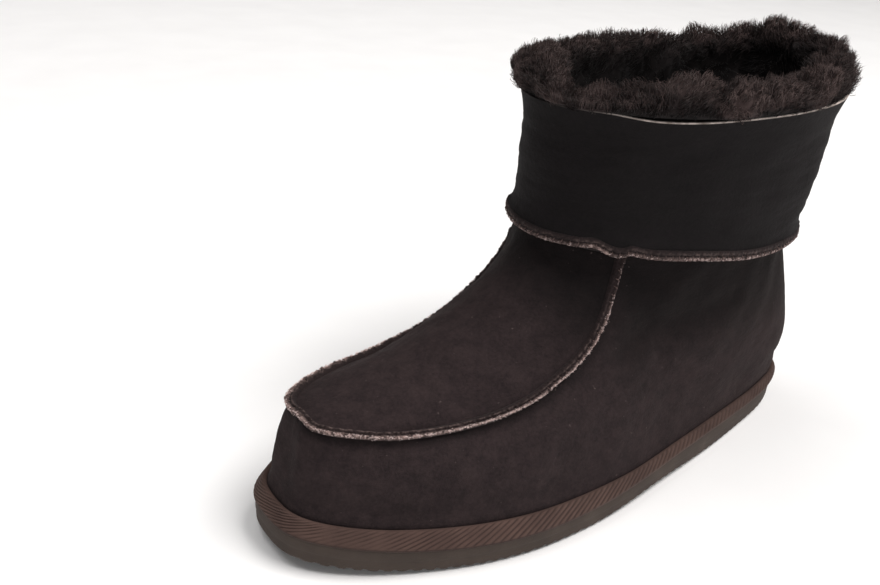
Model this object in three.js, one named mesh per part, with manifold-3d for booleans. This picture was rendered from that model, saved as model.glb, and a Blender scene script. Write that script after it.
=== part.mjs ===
// Left slipper boot of sheepskin with a moccasin toe
// Millimetres, +X to the toe, +Y to the outer side, +Z up
import * as THREE from 'three';
import { mergeVertices } from 'three/addons/utils/BufferGeometryUtils.js';
import Module from 'manifold-3d';

// Driving sizes
const SOLE_LENGTH = 290;
const OUTSOLE_HEIGHT = 11;
const RAND_HEIGHT = 8;
const GAP = 0.3;
const WALL = 2.6;
const TURNED_IN = 7; // how far the toe end of the sole's middle line swings to the inner side
const TOE_SPRING = 5;
const SPRING_START = 218; // station where the toe begins to lift
const ARCH_HEIGHT = 2;
const ARCH_BACK = 72;
const ARCH_FRONT = 172;

// The group's place: the origin is under the middle of the whole part's box
const ORIGIN_STATION = 145;
const ORIGIN_ACROSS = -4.5;

// Half widths of the foot outline, by station from the heel
const OUTLINE = [
  { station: 0, outer: 36, inner: 41 },
  { station: 50, outer: 39, inner: 42 },
  { station: 110, outer: 46, inner: 40 },
  { station: 165, outer: 53.5, inner: 45 },
  { station: 210, outer: 56, inner: 52 },
  { station: 255, outer: 51, inner: 51.5 },
  { station: 290, outer: 43.5, inner: 43.5 },
];
const HEEL_POWER = 0.54;
const TOE_POWER = 0.67;

// The apron's seam, by turn in degrees from the toe: half is its distance from the middle line,
// ridge and crest are the place and height of the instep's ridge in the same section
const SEAM = [
  { turn: 0, along: 278.5, middle: -6.6, half: 0, rise: 56.5, ridge: 262, crest: 60.5 },
  { turn: 12, along: 275, middle: -6.4, half: 10, rise: 56, ridge: 260.5, crest: 61 },
  { turn: 25, along: 265.5, middle: -6, half: 18.3, rise: 55.3, ridge: 255, crest: 62.3 },
  { turn: 40, along: 248, middle: -5.2, half: 26.5, rise: 54.2, ridge: 243, crest: 65.3 },
  { turn: 55, along: 222.5, middle: -4.2, half: 31.6, rise: 54.2, ridge: 224.5, crest: 71.8 },
  { turn: 68, along: 197, middle: -3.6, half: 34.6, rise: 57.5, ridge: 206.5, crest: 80.5 },
  { turn: 80, along: 178, middle: -3.6, half: 34.8, rise: 65.5, ridge: 192.5, crest: 90 },
  { turn: 89, along: 166, middle: -3.9, half: 34.2, rise: 75, ridge: 183, crest: 98 },
  { turn: 95, along: 158.5, middle: -4.3, half: 32.8, rise: 85.5, ridge: 177.5, crest: 103.8 },
  { turn: 100, along: 153.8, middle: -4.6, half: 31.2, rise: 98, ridge: 173.6, crest: 108.5 },
  { turn: 104, along: 150.7, middle: -4.8, half: 30.3, rise: 110.5, ridge: 171.2, crest: 112.4 },
];
const SEAM_END = 104; // turn of the seam's end on the foot outline
const SEAM_END_ON_RING = 43.5; // the same end, as a turn on the ankle ring

// Foot of the wall behind the band, as out from the outline, and how far below the band's top it comes out
const WALL_OUT_FOOT = -3.6;
const WALL_OUT_TOP = -6.3;
const BEHIND_RAND = 0.5;

// Outward swell of the wall at a quarter, a half and three quarters of its height
const SWELL = [
  { turn: 0, low: 0.8, half: 0.8, high: 0.6 },
  { turn: 60, low: 3.5, half: 5, high: 3.8 },
  { turn: 104, low: 3.5, half: 4, high: 2.5 },
  { turn: 140, low: 4.2, half: 4.2, high: 2 },
  { turn: 180, low: 5, half: 5, high: 2.2 },
];

// Rings of the shaft: the ankle ring, where it is sewn to the foot, and the top edge
const ANKLE = { along: 96.7, across: -4.8, reach: 74.5, half: 44, front: 112.4, back: 98.8 };
const TOP = { along: 92, across: -4.5, reach: 85.3, half: 50.5, front: 166.5, back: 164.2 };
// How far the shaft's side stands out from a straight line between the two rings
const SHAFT_SWELL = [
  { share: 0, out: 0 },
  { share: 0.12, out: 1.4 },
  { share: 0.3, out: 0.8 },
  { share: 0.55, out: -0.4 },
  { share: 0.8, out: -1.6 },
  { share: 1, out: 0 },
];

// Band round the foot, as out from the outline and up from the outsole's top
const RAND_SECTION = [
  { out: 0, up: GAP },
  { out: 0.2, up: 1.8 },
  { out: -3.4, up: RAND_HEIGHT - 0.6 },
  { out: -4.4, up: RAND_HEIGHT },
  { out: -5.6, up: RAND_HEIGHT - 0.6 },
  { out: -3.2, up: GAP },
];

// Side of the outsole, as inset from its outline and up, with a bevelled tread edge and a ledge half way
const OUTSOLE_SECTION = [
  { inset: 1.6, up: 0 },
  { inset: 0.6, up: 0.7 },
  { inset: 0.3, up: 2.2 },
  { inset: 0.3, up: 5.4 },
  { inset: 0, up: 6 },
  { inset: 0, up: OUTSOLE_HEIGHT },
];
const HEEL_BEVEL = 3; // how much wider the bevel is at the back of the heel
const OUTSOLE_INSET_TOE = 0.3; // how far the band overhangs the outsole
const OUTSOLE_INSET_HEEL = 1.4;
const OVERHANG_FROM = 20; // turns between which the overhang grows, and the heel's bevel
const OVERHANG_TO = 160;
const BEVEL_FROM = 130;
const BEVEL_TO = 175;

// Cross grooves of the tread, in the forefoot and under the heel
const TREAD = [
  { from: 14, to: 68 },
  { from: 164, to: 250 },
];
const GROOVE_PITCH = 6.8;
const GROOVE_WIDTH = 2.6;
const GROOVE_DEPTH = 1.6;
const TREAD_BORDER = 9;

// Footbed, as inset from the foot outline and up, with a rounded upper edge
const INSOLE_TOP = OUTSOLE_HEIGHT + 6;
const INSOLE_SECTION = [
  { inset: 7.2, up: OUTSOLE_HEIGHT + GAP },
  { inset: 9.4, up: INSOLE_TOP - 1 },
  { inset: 10.6, up: INSOLE_TOP },
];

// The apron stops short of the wall's edge, by more at the toe than up the instep
const APRON_BACK_TOE = 3.2;
const APRON_BACK_INSTEP = 1.7;
const INSTEP_FROM = 60; // turns between which the toe becomes the instep
const INSTEP_TO = 95;
const APRON_END = SEAM_END - 0.3;
const RIDGE_SHARE = 0.1; // the normal on the ridge is taken this far down its side

// Raised ridge of the apron's seam
const RIDGE_HEIGHT = 2.8;
const RIDGE_SIDE = 1.3; // its height at either side
const RIDGE_OUTSIDE = 1.4; // how far it laps over the wall, and over the apron
const RIDGE_INSIDE = 3.4;
const RIDGE_CLEAR = 0.35;
const RIDGE_END = 103.5; // it stops below the flange

// Sewn flange round the ankle, as out from the shaft and up from the ankle ring
const FLANGE_SECTION = [
  { out: 0.35, up: 0.4 },
  { out: 3.4, up: 0.3 },
  { out: 5, up: 1.5 },
  { out: 5.2, up: 3.4 },
  { out: 3.4, up: 4.9 },
  { out: 0.35, up: 5.4 },
];

// Fur collar: the part inside the shaft, and the roll over its edge as out and up from the top edge
const FUR_THICKNESS = 13;
const FUR_CLEAR = 0.4;
const FUR_DEPTHS = [0.35, 0.6, 0.82];
const FUR_ROLL = [
  { out: -3.1, up: 0.4 },
  { out: 2.2, up: 0.5 },
  { out: 4, up: 4.5 },
  { out: 3.4, up: 9.5 },
  { out: -0.5, up: 13.5 },
  { out: -6.5, up: 14.5 },
  { out: -12.5, up: 11 },
  { out: -15.8, up: 4 },
];
// Share of that height round the edge: highest behind, on the inner side, and lowest in front
const FUR_RISE = [
  { turn: -180, share: 1.24 },
  { turn: -160, share: 1.38 },
  { turn: -120, share: 0.8 },
  { turn: -90, share: 0.68 },
  { turn: -30, share: 0.72 },
  { turn: 8, share: 0.52 },
  { turn: 40, share: 0.76 },
  { turn: 90, share: 0.76 },
  { turn: 130, share: 1.06 },
  { turn: 180, share: 1.24 },
];
const LOCK_ROWS = [
  { count: 28, out: 1.6, up: 8.8, lean: 52, length: 5.5 },
  { count: 28, out: -2.5, up: 12, lean: 18, length: 7 },
  { count: 24, out: -9, up: 12, lean: -18, length: 6 },
];
const LOCK_WIDTH = 11;
const LOCK_DEPTH = 4;
const LOCK_SIDES = 5;
const LOCK_SWAY = 30; // degrees to either side, by a step of angle from lock to lock
const LOCK_STEP = 2.4;

// How finely the pieces are divided
const FRONT_STEPS = 38;
const BACK_STEPS = 28;
const ARC_STEPS = 16;
const APRON_STEPS = 22;
const OUTSOLE_STEPS = 44;
const INSOLE_STEPS = 32;
const CROSS_STEPS = 4;
const WALL_SHARES = [0.18, 0.36, 0.54, 0.72, 0.88, 1];
const APRON_SHARES = [0, 0.22, 0.44, 0.64, 0.82, 1];
const SHAFT_SHARES = [0, 0.12, 0.35, 0.6, 0.8, 1];
const MERGE = 1e-3; // points closer than this are one
const TURN_STEP = 1; // steps by which slopes are measured
const SHARE_STEP = 0.02;

const { degToRad, lerp, smoothstep } = THREE.MathUtils;

// Reading of a table's column between its rows, as a smooth cubic
function read(table, key, column, at) {
  const last = table.length - 1;
  if (at <= table[0][key]) return table[0][column];
  if (at >= table[last][key]) return table[last][column];
  const i = table.findIndex((row) => row[key] > at) - 1;
  const slope = (j) => {
    const before = table[Math.max(j - 1, 0)];
    const after = table[Math.min(j + 1, last)];
    return (after[column] - before[column]) / (after[key] - before[key]);
  };
  const span = table[i + 1][key] - table[i][key];
  const t = (at - table[i][key]) / span;
  const ease = t * t * (3 - 2 * t);
  const bend = span * (slope(i) * t * (1 - t) ** 2 - slope(i + 1) * t * t * (1 - t));
  return lerp(table[i][column], table[i + 1][column], ease) + bend;
}

// Height that the toe spring and the arch add
function spring(station) {
  const share = Math.max(0, (station - SPRING_START) / (SOLE_LENGTH - SPRING_START));
  return TOE_SPRING * share * share;
}

function arch(station) {
  if (station <= ARCH_BACK || station >= ARCH_FRONT) return 0;
  return ARCH_HEIGHT * Math.sin((Math.PI * (station - ARCH_BACK)) / (ARCH_FRONT - ARCH_BACK)) ** 2;
}

// The foot outline at a turn in degrees, 0 at the toe and positive on the outer side
function outline(turn) {
  const angle = degToRad(turn);
  const station = (SOLE_LENGTH / 2) * (1 + Math.cos(angle));
  const sine = Math.sin(angle);
  const half = read(OUTLINE, 'station', sine >= 0 ? 'outer' : 'inner', station);
  const power = lerp(HEEL_POWER, TOE_POWER, station / SOLE_LENGTH);
  const middle = -TURNED_IN * (station / SOLE_LENGTH) ** 2;
  return new THREE.Vector3(station, middle + Math.sign(sine) * half * Math.abs(sine) ** power, 0);
}

// Level direction outwards from a closed curve of the turn
function outwards(curve, turn) {
  const along = curve(turn + TURN_STEP).sub(curve(turn - TURN_STEP));
  return new THREE.Vector3(along.y, -along.x, 0).normalize();
}

// A point of the foot outline moved out, at a height above the floor plus the toe spring
function onOutline(turn, out, up) {
  const point = outline(turn).addScaledVector(outwards(outline, turn), out);
  point.z = up + spring(point.x);
  return point;
}

// A ring of the shaft at a turn in degrees, 0 at its front
function ring(sizes, turn) {
  const angle = degToRad(turn);
  const forward = Math.cos(angle);
  return new THREE.Vector3(
    sizes.along + sizes.reach * forward,
    sizes.across + sizes.half * Math.sin(angle),
    (sizes.front + sizes.back) / 2 + ((sizes.front - sizes.back) / 2) * forward,
  );
}

// Upper edge of the wall: the apron's seam, then the ankle ring round the back
function topEdge(turn) {
  const side = Math.sign(turn);
  const at = Math.abs(turn);
  if (at > SEAM_END) {
    const share = (at - SEAM_END) / (180 - SEAM_END);
    return ring(ANKLE, side * lerp(SEAM_END_ON_RING, 180, share));
  }
  const half = side * read(SEAM, 'turn', 'half', at);
  return new THREE.Vector3(
    read(SEAM, 'turn', 'along', at),
    read(SEAM, 'turn', 'middle', at) + half,
    read(SEAM, 'turn', 'rise', at),
  );
}

// Outer face of the wall, from the band's top (share 0) to the upper edge (share 1)
function wall(turn, share) {
  const foot = onOutline(turn, WALL_OUT_TOP, OUTSOLE_HEIGHT + RAND_HEIGHT - BEHIND_RAND);
  const edge = topEdge(turn);
  const out = outwards(outline, turn);
  const ruling = edge.clone().sub(foot);
  const lean = Math.atan2(-ruling.dot(out), ruling.z);
  const at = Math.abs(turn);
  const swell = [0, 'low', 'half', 'high', 0].map((name, i) => ({
    share: i / 4,
    out: name ? read(SWELL, 'turn', name, at) : 0,
  }));
  const amount = read(swell, 'share', 'out', share);
  const point = foot.addScaledVector(ruling, share);
  point.addScaledVector(out, amount * Math.cos(lean));
  point.z += amount * Math.sin(lean);
  return point;
}

// Normal of a face given as a function of turn and share
function normalOf(face, turn, share) {
  const round = face(turn + TURN_STEP, share).sub(face(turn - TURN_STEP, share));
  const up = face(turn, share + SHARE_STEP).sub(face(turn, share - SHARE_STEP));
  return round.cross(up).normalize();
}

// Outer face of the apron, from the ridge over the instep (share 0) to the seam (share 1)
function apronFace(turn, share) {
  const at = Math.abs(turn);
  const edge = topEdge(turn);
  const ridge = read(SEAM, 'turn', 'ridge', at);
  const crest = read(SEAM, 'turn', 'crest', at);
  const middle = read(SEAM, 'turn', 'middle', at);
  const ahead = edge.x > ridge ? share : share * share;
  return new THREE.Vector3(
    lerp(ridge, edge.x, ahead),
    lerp(middle, edge.y, share),
    lerp(crest, edge.z, share * share),
  );
}

// Outer face of the shaft, from the ankle ring (share 0) to its top edge (share 1)
function shaftFace(turn, share) {
  const point = ring(ANKLE, turn).lerp(ring(TOP, turn), share);
  return point.addScaledVector(shaftOut(turn), read(SHAFT_SWELL, 'share', 'out', share));
}

function shaftOut(turn) {
  return outwards((at) => ring(TOP, at), turn);
}

// Turns of the wall's sections, with one at each end of the seam
function frontTurns(end) {
  return Array.from({ length: FRONT_STEPS + 1 }, (_, i) => lerp(-end, end, i / FRONT_STEPS));
}

function wallTurns() {
  const shares = Array.from({ length: BACK_STEPS - 1 }, (_, i) => (i + 1) / BACK_STEPS);
  const back = shares.map((share) => lerp(SEAM_END, 360 - SEAM_END, share));
  return [...frontTurns(SEAM_END), ...back.map((turn) => (turn > 180 ? turn - 360 : turn))];
}

// Turns of the rings of the shaft
function ringTurns() {
  const end = SEAM_END_ON_RING;
  const front = Array.from({ length: ARC_STEPS }, (_, i) => lerp(-end, end, i / ARC_STEPS));
  const back = Array.from({ length: BACK_STEPS }, (_, i) => lerp(end, 360 - end, i / BACK_STEPS));
  return [...front, ...back];
}

// Closed skin over rows of points, each row a closed section; rowsClose joins the last row to the first
function skin(rows, rowsClose) {
  const size = rows[0].length;
  const corners = [];
  const last = rowsClose ? rows.length : rows.length - 1;
  for (let i = 0; i < last; i += 1) {
    const here = rows[i];
    const next = rows[(i + 1) % rows.length];
    for (let j = 0; j < size; j += 1) {
      const k = (j + 1) % size;
      corners.push(here[j], next[j], next[k], here[j], next[k], here[k]);
    }
  }
  return tidy(corners);
}

// Merged mesh without triangles that have no area, facing out
function tidy(corners) {
  const loose = new THREE.BufferGeometry().setFromPoints(corners);
  const merged = mergeVertices(loose, MERGE);
  const old = merged.index.array;
  const kept = [];
  for (let i = 0; i < old.length; i += 3) {
    const [a, b, c] = [old[i], old[i + 1], old[i + 2]];
    if (a !== b && b !== c && c !== a) kept.push(a, b, c);
  }
  merged.setIndex(kept);
  if (sixVolumes(merged) < 0) kept.reverse();
  merged.setIndex(kept);
  merged.computeVertexNormals();
  return merged;
}

// Corner points of a geometry's triangles, in order
function cornersOf(geometry) {
  const loose = geometry.toNonIndexed().getAttribute('position');
  return Array.from({ length: loose.count }, (_, i) => new THREE.Vector3().fromBufferAttribute(loose, i));
}

// Six times the volume, negative if the faces point inwards
function sixVolumes(geometry) {
  const place = geometry.getAttribute('position');
  const order = geometry.index.array;
  const corner = (i) => new THREE.Vector3().fromBufferAttribute(place, order[i]);
  let sum = 0;
  for (let i = 0; i < order.length; i += 3) sum += corner(i).dot(corner(i + 1).cross(corner(i + 2)));
  return sum;
}

// Row pinched to the middle between its two faces, which closes the end of a shell
function pinch(row) {
  return row.map((point, i) => point.clone().lerp(row[row.length - 1 - i], 0.5));
}

const wasm = await Module();
wasm.setup();

function toSolid(geometry) {
  return new wasm.Manifold(new wasm.Mesh({
    numProp: 3,
    vertProperties: new Float32Array(geometry.getAttribute('position').array),
    triVerts: new Uint32Array(geometry.index.array),
  }));
}

function toGeometry(solid) {
  const mesh = solid.getMesh();
  const geometry = new THREE.BufferGeometry();
  geometry.setAttribute('position', new THREE.BufferAttribute(mesh.vertProperties, 3));
  geometry.setIndex(new THREE.BufferAttribute(mesh.triVerts, 1));
  geometry.computeVertexNormals();
  return geometry;
}

// Points across from one side of a row to the other
function across(from, to) {
  const shares = Array.from({ length: CROSS_STEPS - 1 }, (_, i) => (i + 1) / CROSS_STEPS);
  return shares.map((share) => from.clone().lerp(to, share));
}

// A solid from toe to heel between two sides, with the given side section
function slab(section, insetAt, bevelAt, floorAt, steps) {
  const rows = Array.from({ length: steps + 1 }, (_, i) => {
    const turn = (180 * i) / steps;
    const side = (sign) => section.map(({ inset, up }) => {
      const point = onOutline(sign * turn, -inset * bevelAt(turn) - insetAt(turn), up);
      point.z += floorAt(point.x) * (1 - up / OUTSOLE_HEIGHT);
      return point;
    });
    const outer = side(1);
    const inner = side(-1);
    const floor = across(inner[0], outer[0]);
    const roof = across(outer.at(-1), inner.at(-1));
    return [...floor, ...outer, ...roof, ...inner.reverse()];
  });
  return skin(rows, false);
}

function outsoleInset(turn) {
  return lerp(OUTSOLE_INSET_TOE, OUTSOLE_INSET_HEEL, smoothstep(Math.abs(turn), OVERHANG_FROM, OVERHANG_TO));
}

function heelBevel(turn) {
  return lerp(1, HEEL_BEVEL, smoothstep(Math.abs(turn), BEVEL_FROM, BEVEL_TO));
}

function makeOutsole() {
  let sole = toSolid(slab(OUTSOLE_SECTION, outsoleInset, heelBevel, arch, OUTSOLE_STEPS));
  for (const { from, to } of TREAD) {
    const count = Math.round((to - from) / GROOVE_PITCH);
    for (let i = 0; i <= count; i += 1) {
      sole = sole.subtract(toSolid(groove(lerp(from, to, i / count))));
    }
  }
  return toGeometry(sole);
}

// One groove across the tread, inside its border
function groove(station) {
  const turn = THREE.MathUtils.radToDeg(Math.acos((2 * station) / SOLE_LENGTH - 1));
  const outer = outline(turn).y - TREAD_BORDER;
  const inner = outline(-turn).y + TREAD_BORDER;
  const bar = new THREE.BoxGeometry(GROOVE_WIDTH, outer - inner, 2 * GROOVE_DEPTH);
  bar.translate(station, (outer + inner) / 2, spring(station));
  bar.deleteAttribute('normal');
  bar.deleteAttribute('uv');
  return mergeVertices(bar, MERGE);
}

function makeRand() {
  const rows = wallTurns().map((turn) =>
    RAND_SECTION.map(({ out, up }) => onOutline(turn, out, OUTSOLE_HEIGHT + up)));
  return skin(rows, true);
}

function makeInsole() {
  return slab(INSOLE_SECTION, () => 0, () => 1, () => 0, INSOLE_STEPS);
}

// Thickness direction of the wall: level at its foot and at the ankle ring, square to the face in between
function wallInwards(turn, share) {
  const level = outwards(outline, turn).negate();
  const ringward = outwards(topEdge, turn).negate();
  const square = normalOf(wall, turn, share);
  if (square.dot(level) < 0) square.negate();
  if (Math.abs(turn) >= SEAM_END - 1) return level.lerp(ringward, share).normalize();
  return level.lerp(square, smoothstep(share, 0, 0.5)).normalize();
}

function makeUpper() {
  const rows = wallTurns().map((turn) => {
    const foot = onOutline(turn, WALL_OUT_FOOT, OUTSOLE_HEIGHT + GAP);
    const outer = [foot, wall(turn, 0), ...WALL_SHARES.map((share) => wall(turn, share))];
    const inner = outer.map((point, i) => {
      const share = i < 2 ? 0 : WALL_SHARES[i - 2];
      return point.clone().addScaledVector(wallInwards(turn, share), WALL);
    });
    return [...outer, ...inner.reverse()];
  });
  return skin(rows, true);
}

// Share of the apron's face at which it stops
function apronShare(turn) {
  const instep = smoothstep(Math.abs(turn), INSTEP_FROM, INSTEP_TO);
  const back = lerp(APRON_BACK_TOE, APRON_BACK_INSTEP, instep);
  const length = apronFace(turn, 0).distanceTo(apronFace(turn, 1));
  return 1 - back / length;
}

function apronNormal(turn, share) {
  const square = normalOf(apronFace, turn, Math.max(share, RIDGE_SHARE));
  return square.z < 0 ? square.negate() : square;
}

function makeApron() {
  const rows = Array.from({ length: APRON_STEPS + 1 }, (_, i) => {
    const turn = (APRON_END * i) / APRON_STEPS;
    const half = (side) => APRON_SHARES.map((share) => {
      const reach = share * apronShare(turn);
      const outer = apronFace(side * turn, reach);
      const normal = share === 0 ? ridgeNormal(turn) : apronNormal(side * turn, reach);
      return { outer, inner: outer.clone().addScaledVector(normal, -WALL) };
    });
    const points = [...half(-1).reverse(), ...half(1).slice(1)];
    return [...points.map((point) => point.outer), ...points.map((point) => point.inner).reverse()];
  });
  return skin([...rows, pinch(rows.at(-1))], false);
}

// On the ridge the two sides share one normal
function ridgeNormal(turn) {
  return apronNormal(turn, 0).add(apronNormal(-turn, 0)).normalize();
}

// The ridge of the seam lies on the wall and on the apron, between those two faces and its own rounded back
function makeApronSeam() {
  const rows = frontTurns(RIDGE_END).map((turn) => {
    const wallLength = wall(turn, 0).distanceTo(wall(turn, 1));
    const apronLength = apronFace(turn, 0).distanceTo(apronFace(turn, 1));
    const onWall = 1 - RIDGE_OUTSIDE / wallLength;
    const onApron = 1 - RIDGE_INSIDE / apronLength;
    const half = (1 + onApron) / 2;
    const wallNormal = wallInwards(turn, onWall).negate();
    const inNormal = apronNormal(turn, onApron);
    const upNormal = wallNormal.clone().add(inNormal).normalize();
    const lift = (point, normal, height) => point.clone().addScaledVector(normal, height);
    return [
      lift(wall(turn, onWall), wallNormal, RIDGE_CLEAR),
      lift(topEdge(turn), upNormal, RIDGE_CLEAR * Math.SQRT2),
      lift(apronFace(turn, half), inNormal, RIDGE_CLEAR),
      lift(apronFace(turn, onApron), inNormal, RIDGE_CLEAR),
      lift(apronFace(turn, onApron), inNormal, RIDGE_SIDE),
      lift(apronFace(turn, half), inNormal, RIDGE_HEIGHT),
      lift(topEdge(turn), upNormal, RIDGE_HEIGHT),
      lift(wall(turn, onWall), wallNormal, RIDGE_SIDE),
    ];
  });
  return skin([pinch(rows[0]), ...rows, pinch(rows.at(-1))], false);
}

function makeShaft() {
  const rows = ringTurns().map((turn) => {
    const outer = SHAFT_SHARES.map((share) => shaftFace(turn, share));
    outer[0].z += GAP;
    const inner = outer.map((point) => point.clone().addScaledVector(shaftOut(turn), -WALL));
    return [...outer, ...inner.reverse()];
  });
  return skin(rows, true);
}

function makeShaftSeam() {
  const rows = ringTurns().map((turn) => {
    const foot = ring(ANKLE, turn);
    const height = ring(TOP, turn).z - foot.z;
    return FLANGE_SECTION.map(({ out, up }) => {
      const point = shaftFace(turn, up / height).addScaledVector(shaftOut(turn), out);
      point.z = foot.z + up;
      return point;
    });
  });
  return skin(rows, true);
}

// Share of the fur's height at a turn
function furRise(turn) {
  return read(FUR_RISE, 'turn', 'share', THREE.MathUtils.euclideanModulo(turn + 180, 360) - 180);
}

// A point of the fur's roll, out and up from the shaft's top edge
function onRoll(turn, out, up) {
  const point = ring(TOP, turn).addScaledVector(shaftOut(turn), out);
  point.z += Math.max(up * furRise(turn), Math.min(up, FUR_CLEAR));
  return point;
}

function makeFurCollar() {
  const rows = ringTurns().map((turn) => {
    const inside = (depth) => FUR_DEPTHS.map((share) =>
      shaftFace(turn, share).addScaledVector(shaftOut(turn), -WALL - depth));
    const roll = FUR_ROLL.map(({ out, up }) => onRoll(turn, out, up));
    return [...inside(FUR_CLEAR), ...roll, ...inside(FUR_THICKNESS).reverse()];
  });
  let collar = toSolid(skin(rows, true));
  for (const row of LOCK_ROWS) {
    for (let i = 0; i < row.count; i += 1) collar = collar.add(toSolid(lock(row, i)));
  }
  return toGeometry(collar);
}

// One lock of fur: a cone with its foot in the roll, leaning out and swaying to one side or the other
function lock(row, i) {
  const turn = (360 * i) / row.count;
  const sway = degToRad(LOCK_SWAY * Math.sin(i * LOCK_STEP));
  const lean = degToRad(row.lean);
  const out = shaftOut(turn);
  const along = new THREE.Vector3(-out.y, out.x, 0);
  const direction = new THREE.Vector3(0, 0, Math.cos(lean)).addScaledVector(out, Math.sin(lean));
  direction.multiplyScalar(Math.cos(sway)).addScaledVector(along, Math.sin(sway));
  const length = row.length + LOCK_DEPTH + Math.sin(2 * i * LOCK_STEP);
  const cone = new THREE.ConeGeometry(LOCK_WIDTH / 2, length, LOCK_SIDES);
  cone.translate(0, length / 2 - LOCK_DEPTH, 0);
  cone.scale(furRise(turn), furRise(turn), furRise(turn));
  cone.applyQuaternion(new THREE.Quaternion().setFromUnitVectors(new THREE.Vector3(0, 1, 0), direction));
  cone.translate(...onRoll(turn, row.out, row.up).toArray());
  cone.deleteAttribute('normal');
  cone.deleteAttribute('uv');
  return tidy(cornersOf(cone));
}

// Colours and roughness from the photo
const LOOKS = {
  outsole: { color: 0x4b4641, roughness: 0.85 },
  rand: { color: 0x54443a, roughness: 0.8 },
  insole: { color: 0x463834, roughness: 1 },
  upper: { color: 0x30282a, roughness: 0.95 },
  apron: { color: 0x30282a, roughness: 0.95 },
  apron_seam: { color: 0x6b5650, roughness: 0.9 },
  shaft: { color: 0x262422, roughness: 0.75 },
  shaft_seam: { color: 0x262422, roughness: 0.8 },
  fur_collar: { color: 0x463734, roughness: 1 },
};

function piece(name, geometry) {
  const mesh = new THREE.Mesh(geometry, new THREE.MeshStandardMaterial({ ...LOOKS[name], metalness: 0 }));
  mesh.name = name;
  return mesh;
}

const slipper = new THREE.Group();
slipper.position.set(-ORIGIN_STATION, -ORIGIN_ACROSS, 0);
slipper.add(
  piece('outsole', makeOutsole()),
  piece('rand', makeRand()),
  piece('insole', makeInsole()),
  piece('upper', makeUpper()),
  piece('apron', makeApron()),
  piece('apron_seam', makeApronSeam()),
  piece('shaft', makeShaft()),
  piece('shaft_seam', makeShaftSeam()),
  piece('fur_collar', makeFurCollar()),
);

export default slipper;
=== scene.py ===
"""Looks of the left slipper boot: fine surfaces, seams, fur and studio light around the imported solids."""
import math

import bpy
import numpy as np
from mathutils import Matrix, Vector


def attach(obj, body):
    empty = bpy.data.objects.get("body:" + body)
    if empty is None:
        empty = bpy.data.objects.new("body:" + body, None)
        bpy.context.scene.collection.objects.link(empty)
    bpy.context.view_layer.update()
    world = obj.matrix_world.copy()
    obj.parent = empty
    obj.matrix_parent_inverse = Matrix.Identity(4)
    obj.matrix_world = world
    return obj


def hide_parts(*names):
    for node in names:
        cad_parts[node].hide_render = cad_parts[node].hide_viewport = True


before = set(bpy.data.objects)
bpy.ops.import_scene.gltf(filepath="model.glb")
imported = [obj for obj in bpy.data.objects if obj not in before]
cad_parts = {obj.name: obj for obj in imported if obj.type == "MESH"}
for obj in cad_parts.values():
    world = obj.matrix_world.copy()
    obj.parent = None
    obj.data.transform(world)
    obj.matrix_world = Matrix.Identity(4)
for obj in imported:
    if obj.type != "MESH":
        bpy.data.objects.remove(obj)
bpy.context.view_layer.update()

# Sizes of the solids in millimetres, from the heel: x to the toe, y to the outer side, z up
SOLE_LENGTH = 290.0
OUTSOLE_HEIGHT = 11.0
RAND_HEIGHT = 8.0
GAP = 0.3
WALL = 2.6
LINING = 3.2
TURNED_IN = 7.0
TOE_SPRING = 5.0
SPRING_START = 218.0
ARCH_HEIGHT = 2.0
ARCH_BACK = 72.0
ARCH_FRONT = 172.0
HEEL_POWER = 0.54
TOE_POWER = 0.67
ORIGIN = np.array([145.0, -4.5, 0.0])

# Station from the heel, half width on the outer side, half width on the inner side
OUTLINE = np.array([
    (0, 36, 41), (50, 39, 42), (110, 46, 40), (165, 53.5, 45), (210, 56, 52), (255, 51, 51.5),
    (290, 43.5, 43.5),
])

# Turn from the toe, along, middle line, half width, rise, ridge of the instep, its crest
SEAM = np.array([
    (0, 278.5, -6.6, 0, 56.5, 262, 60.5), (12, 275, -6.4, 10, 56, 260.5, 61),
    (25, 265.5, -6, 18.3, 55.3, 255, 62.3), (40, 248, -5.2, 26.5, 54.2, 243, 65.3),
    (55, 222.5, -4.2, 31.6, 54.2, 224.5, 71.8), (68, 197, -3.6, 34.6, 57.5, 206.5, 80.5),
    (80, 178, -3.6, 34.8, 65.5, 192.5, 90), (89, 166, -3.9, 34.2, 75, 183, 98),
    (95, 158.5, -4.3, 32.8, 85.5, 177.5, 103.8), (100, 153.8, -4.6, 31.2, 98, 173.6, 108.5),
    (104, 150.7, -4.8, 30.3, 110.5, 171.2, 112.4),
])
SEAM_END = 104.0
SEAM_END_ON_RING = 43.5
# Turn, how far the sewn apron's crest sinks below the solid's, and how far its inner seam rises above it
SETTLED = np.array([
    (0, 0, 0), (50, 0, 0.3), (68, 0.7, 1.5), (80, 1.8, 2.6), (89, 2.4, 2.8), (95, 2.4, 2.5),
    (100, 1.4, 1.6), (104, 0, 0),
])
# Turn with its side, and how far the sewn seam wanders along, across and up
WANDER = np.array([
    (-104, 0, 0, 0), (-20, 0, 0, 0), (-6, -1, 0, 0.4), (2, -1.6, 0, 1.4), (6, -0.6, 0, 1.6),
    (10, 0, 0, 0.6), (15, 0, 0, 0.1), (58, 0, 0, 0), (68, 0, -0.6, 0.3), (77, 0, -1, 0.5),
    (84, 0, -0.8, 0.4), (91, 0, -0.3, 0.1), (96, 0, 0, 0), (104, 0, 0, 0),
])

WALL_OUT_FOOT = -3.6
WALL_OUT_TOP = -6.3
WALL_FOOT = OUTSOLE_HEIGHT + RAND_HEIGHT - 0.5
# Turn, outward swell of the wall at a quarter, a half and three quarters of its height
SWELL = np.array([
    (0, 0.8, 0.8, 0.6), (60, 3.5, 5, 3.8), (104, 3.5, 4, 2.5), (140, 4.2, 4.2, 2), (180, 5, 5, 2.2),
])

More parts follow.
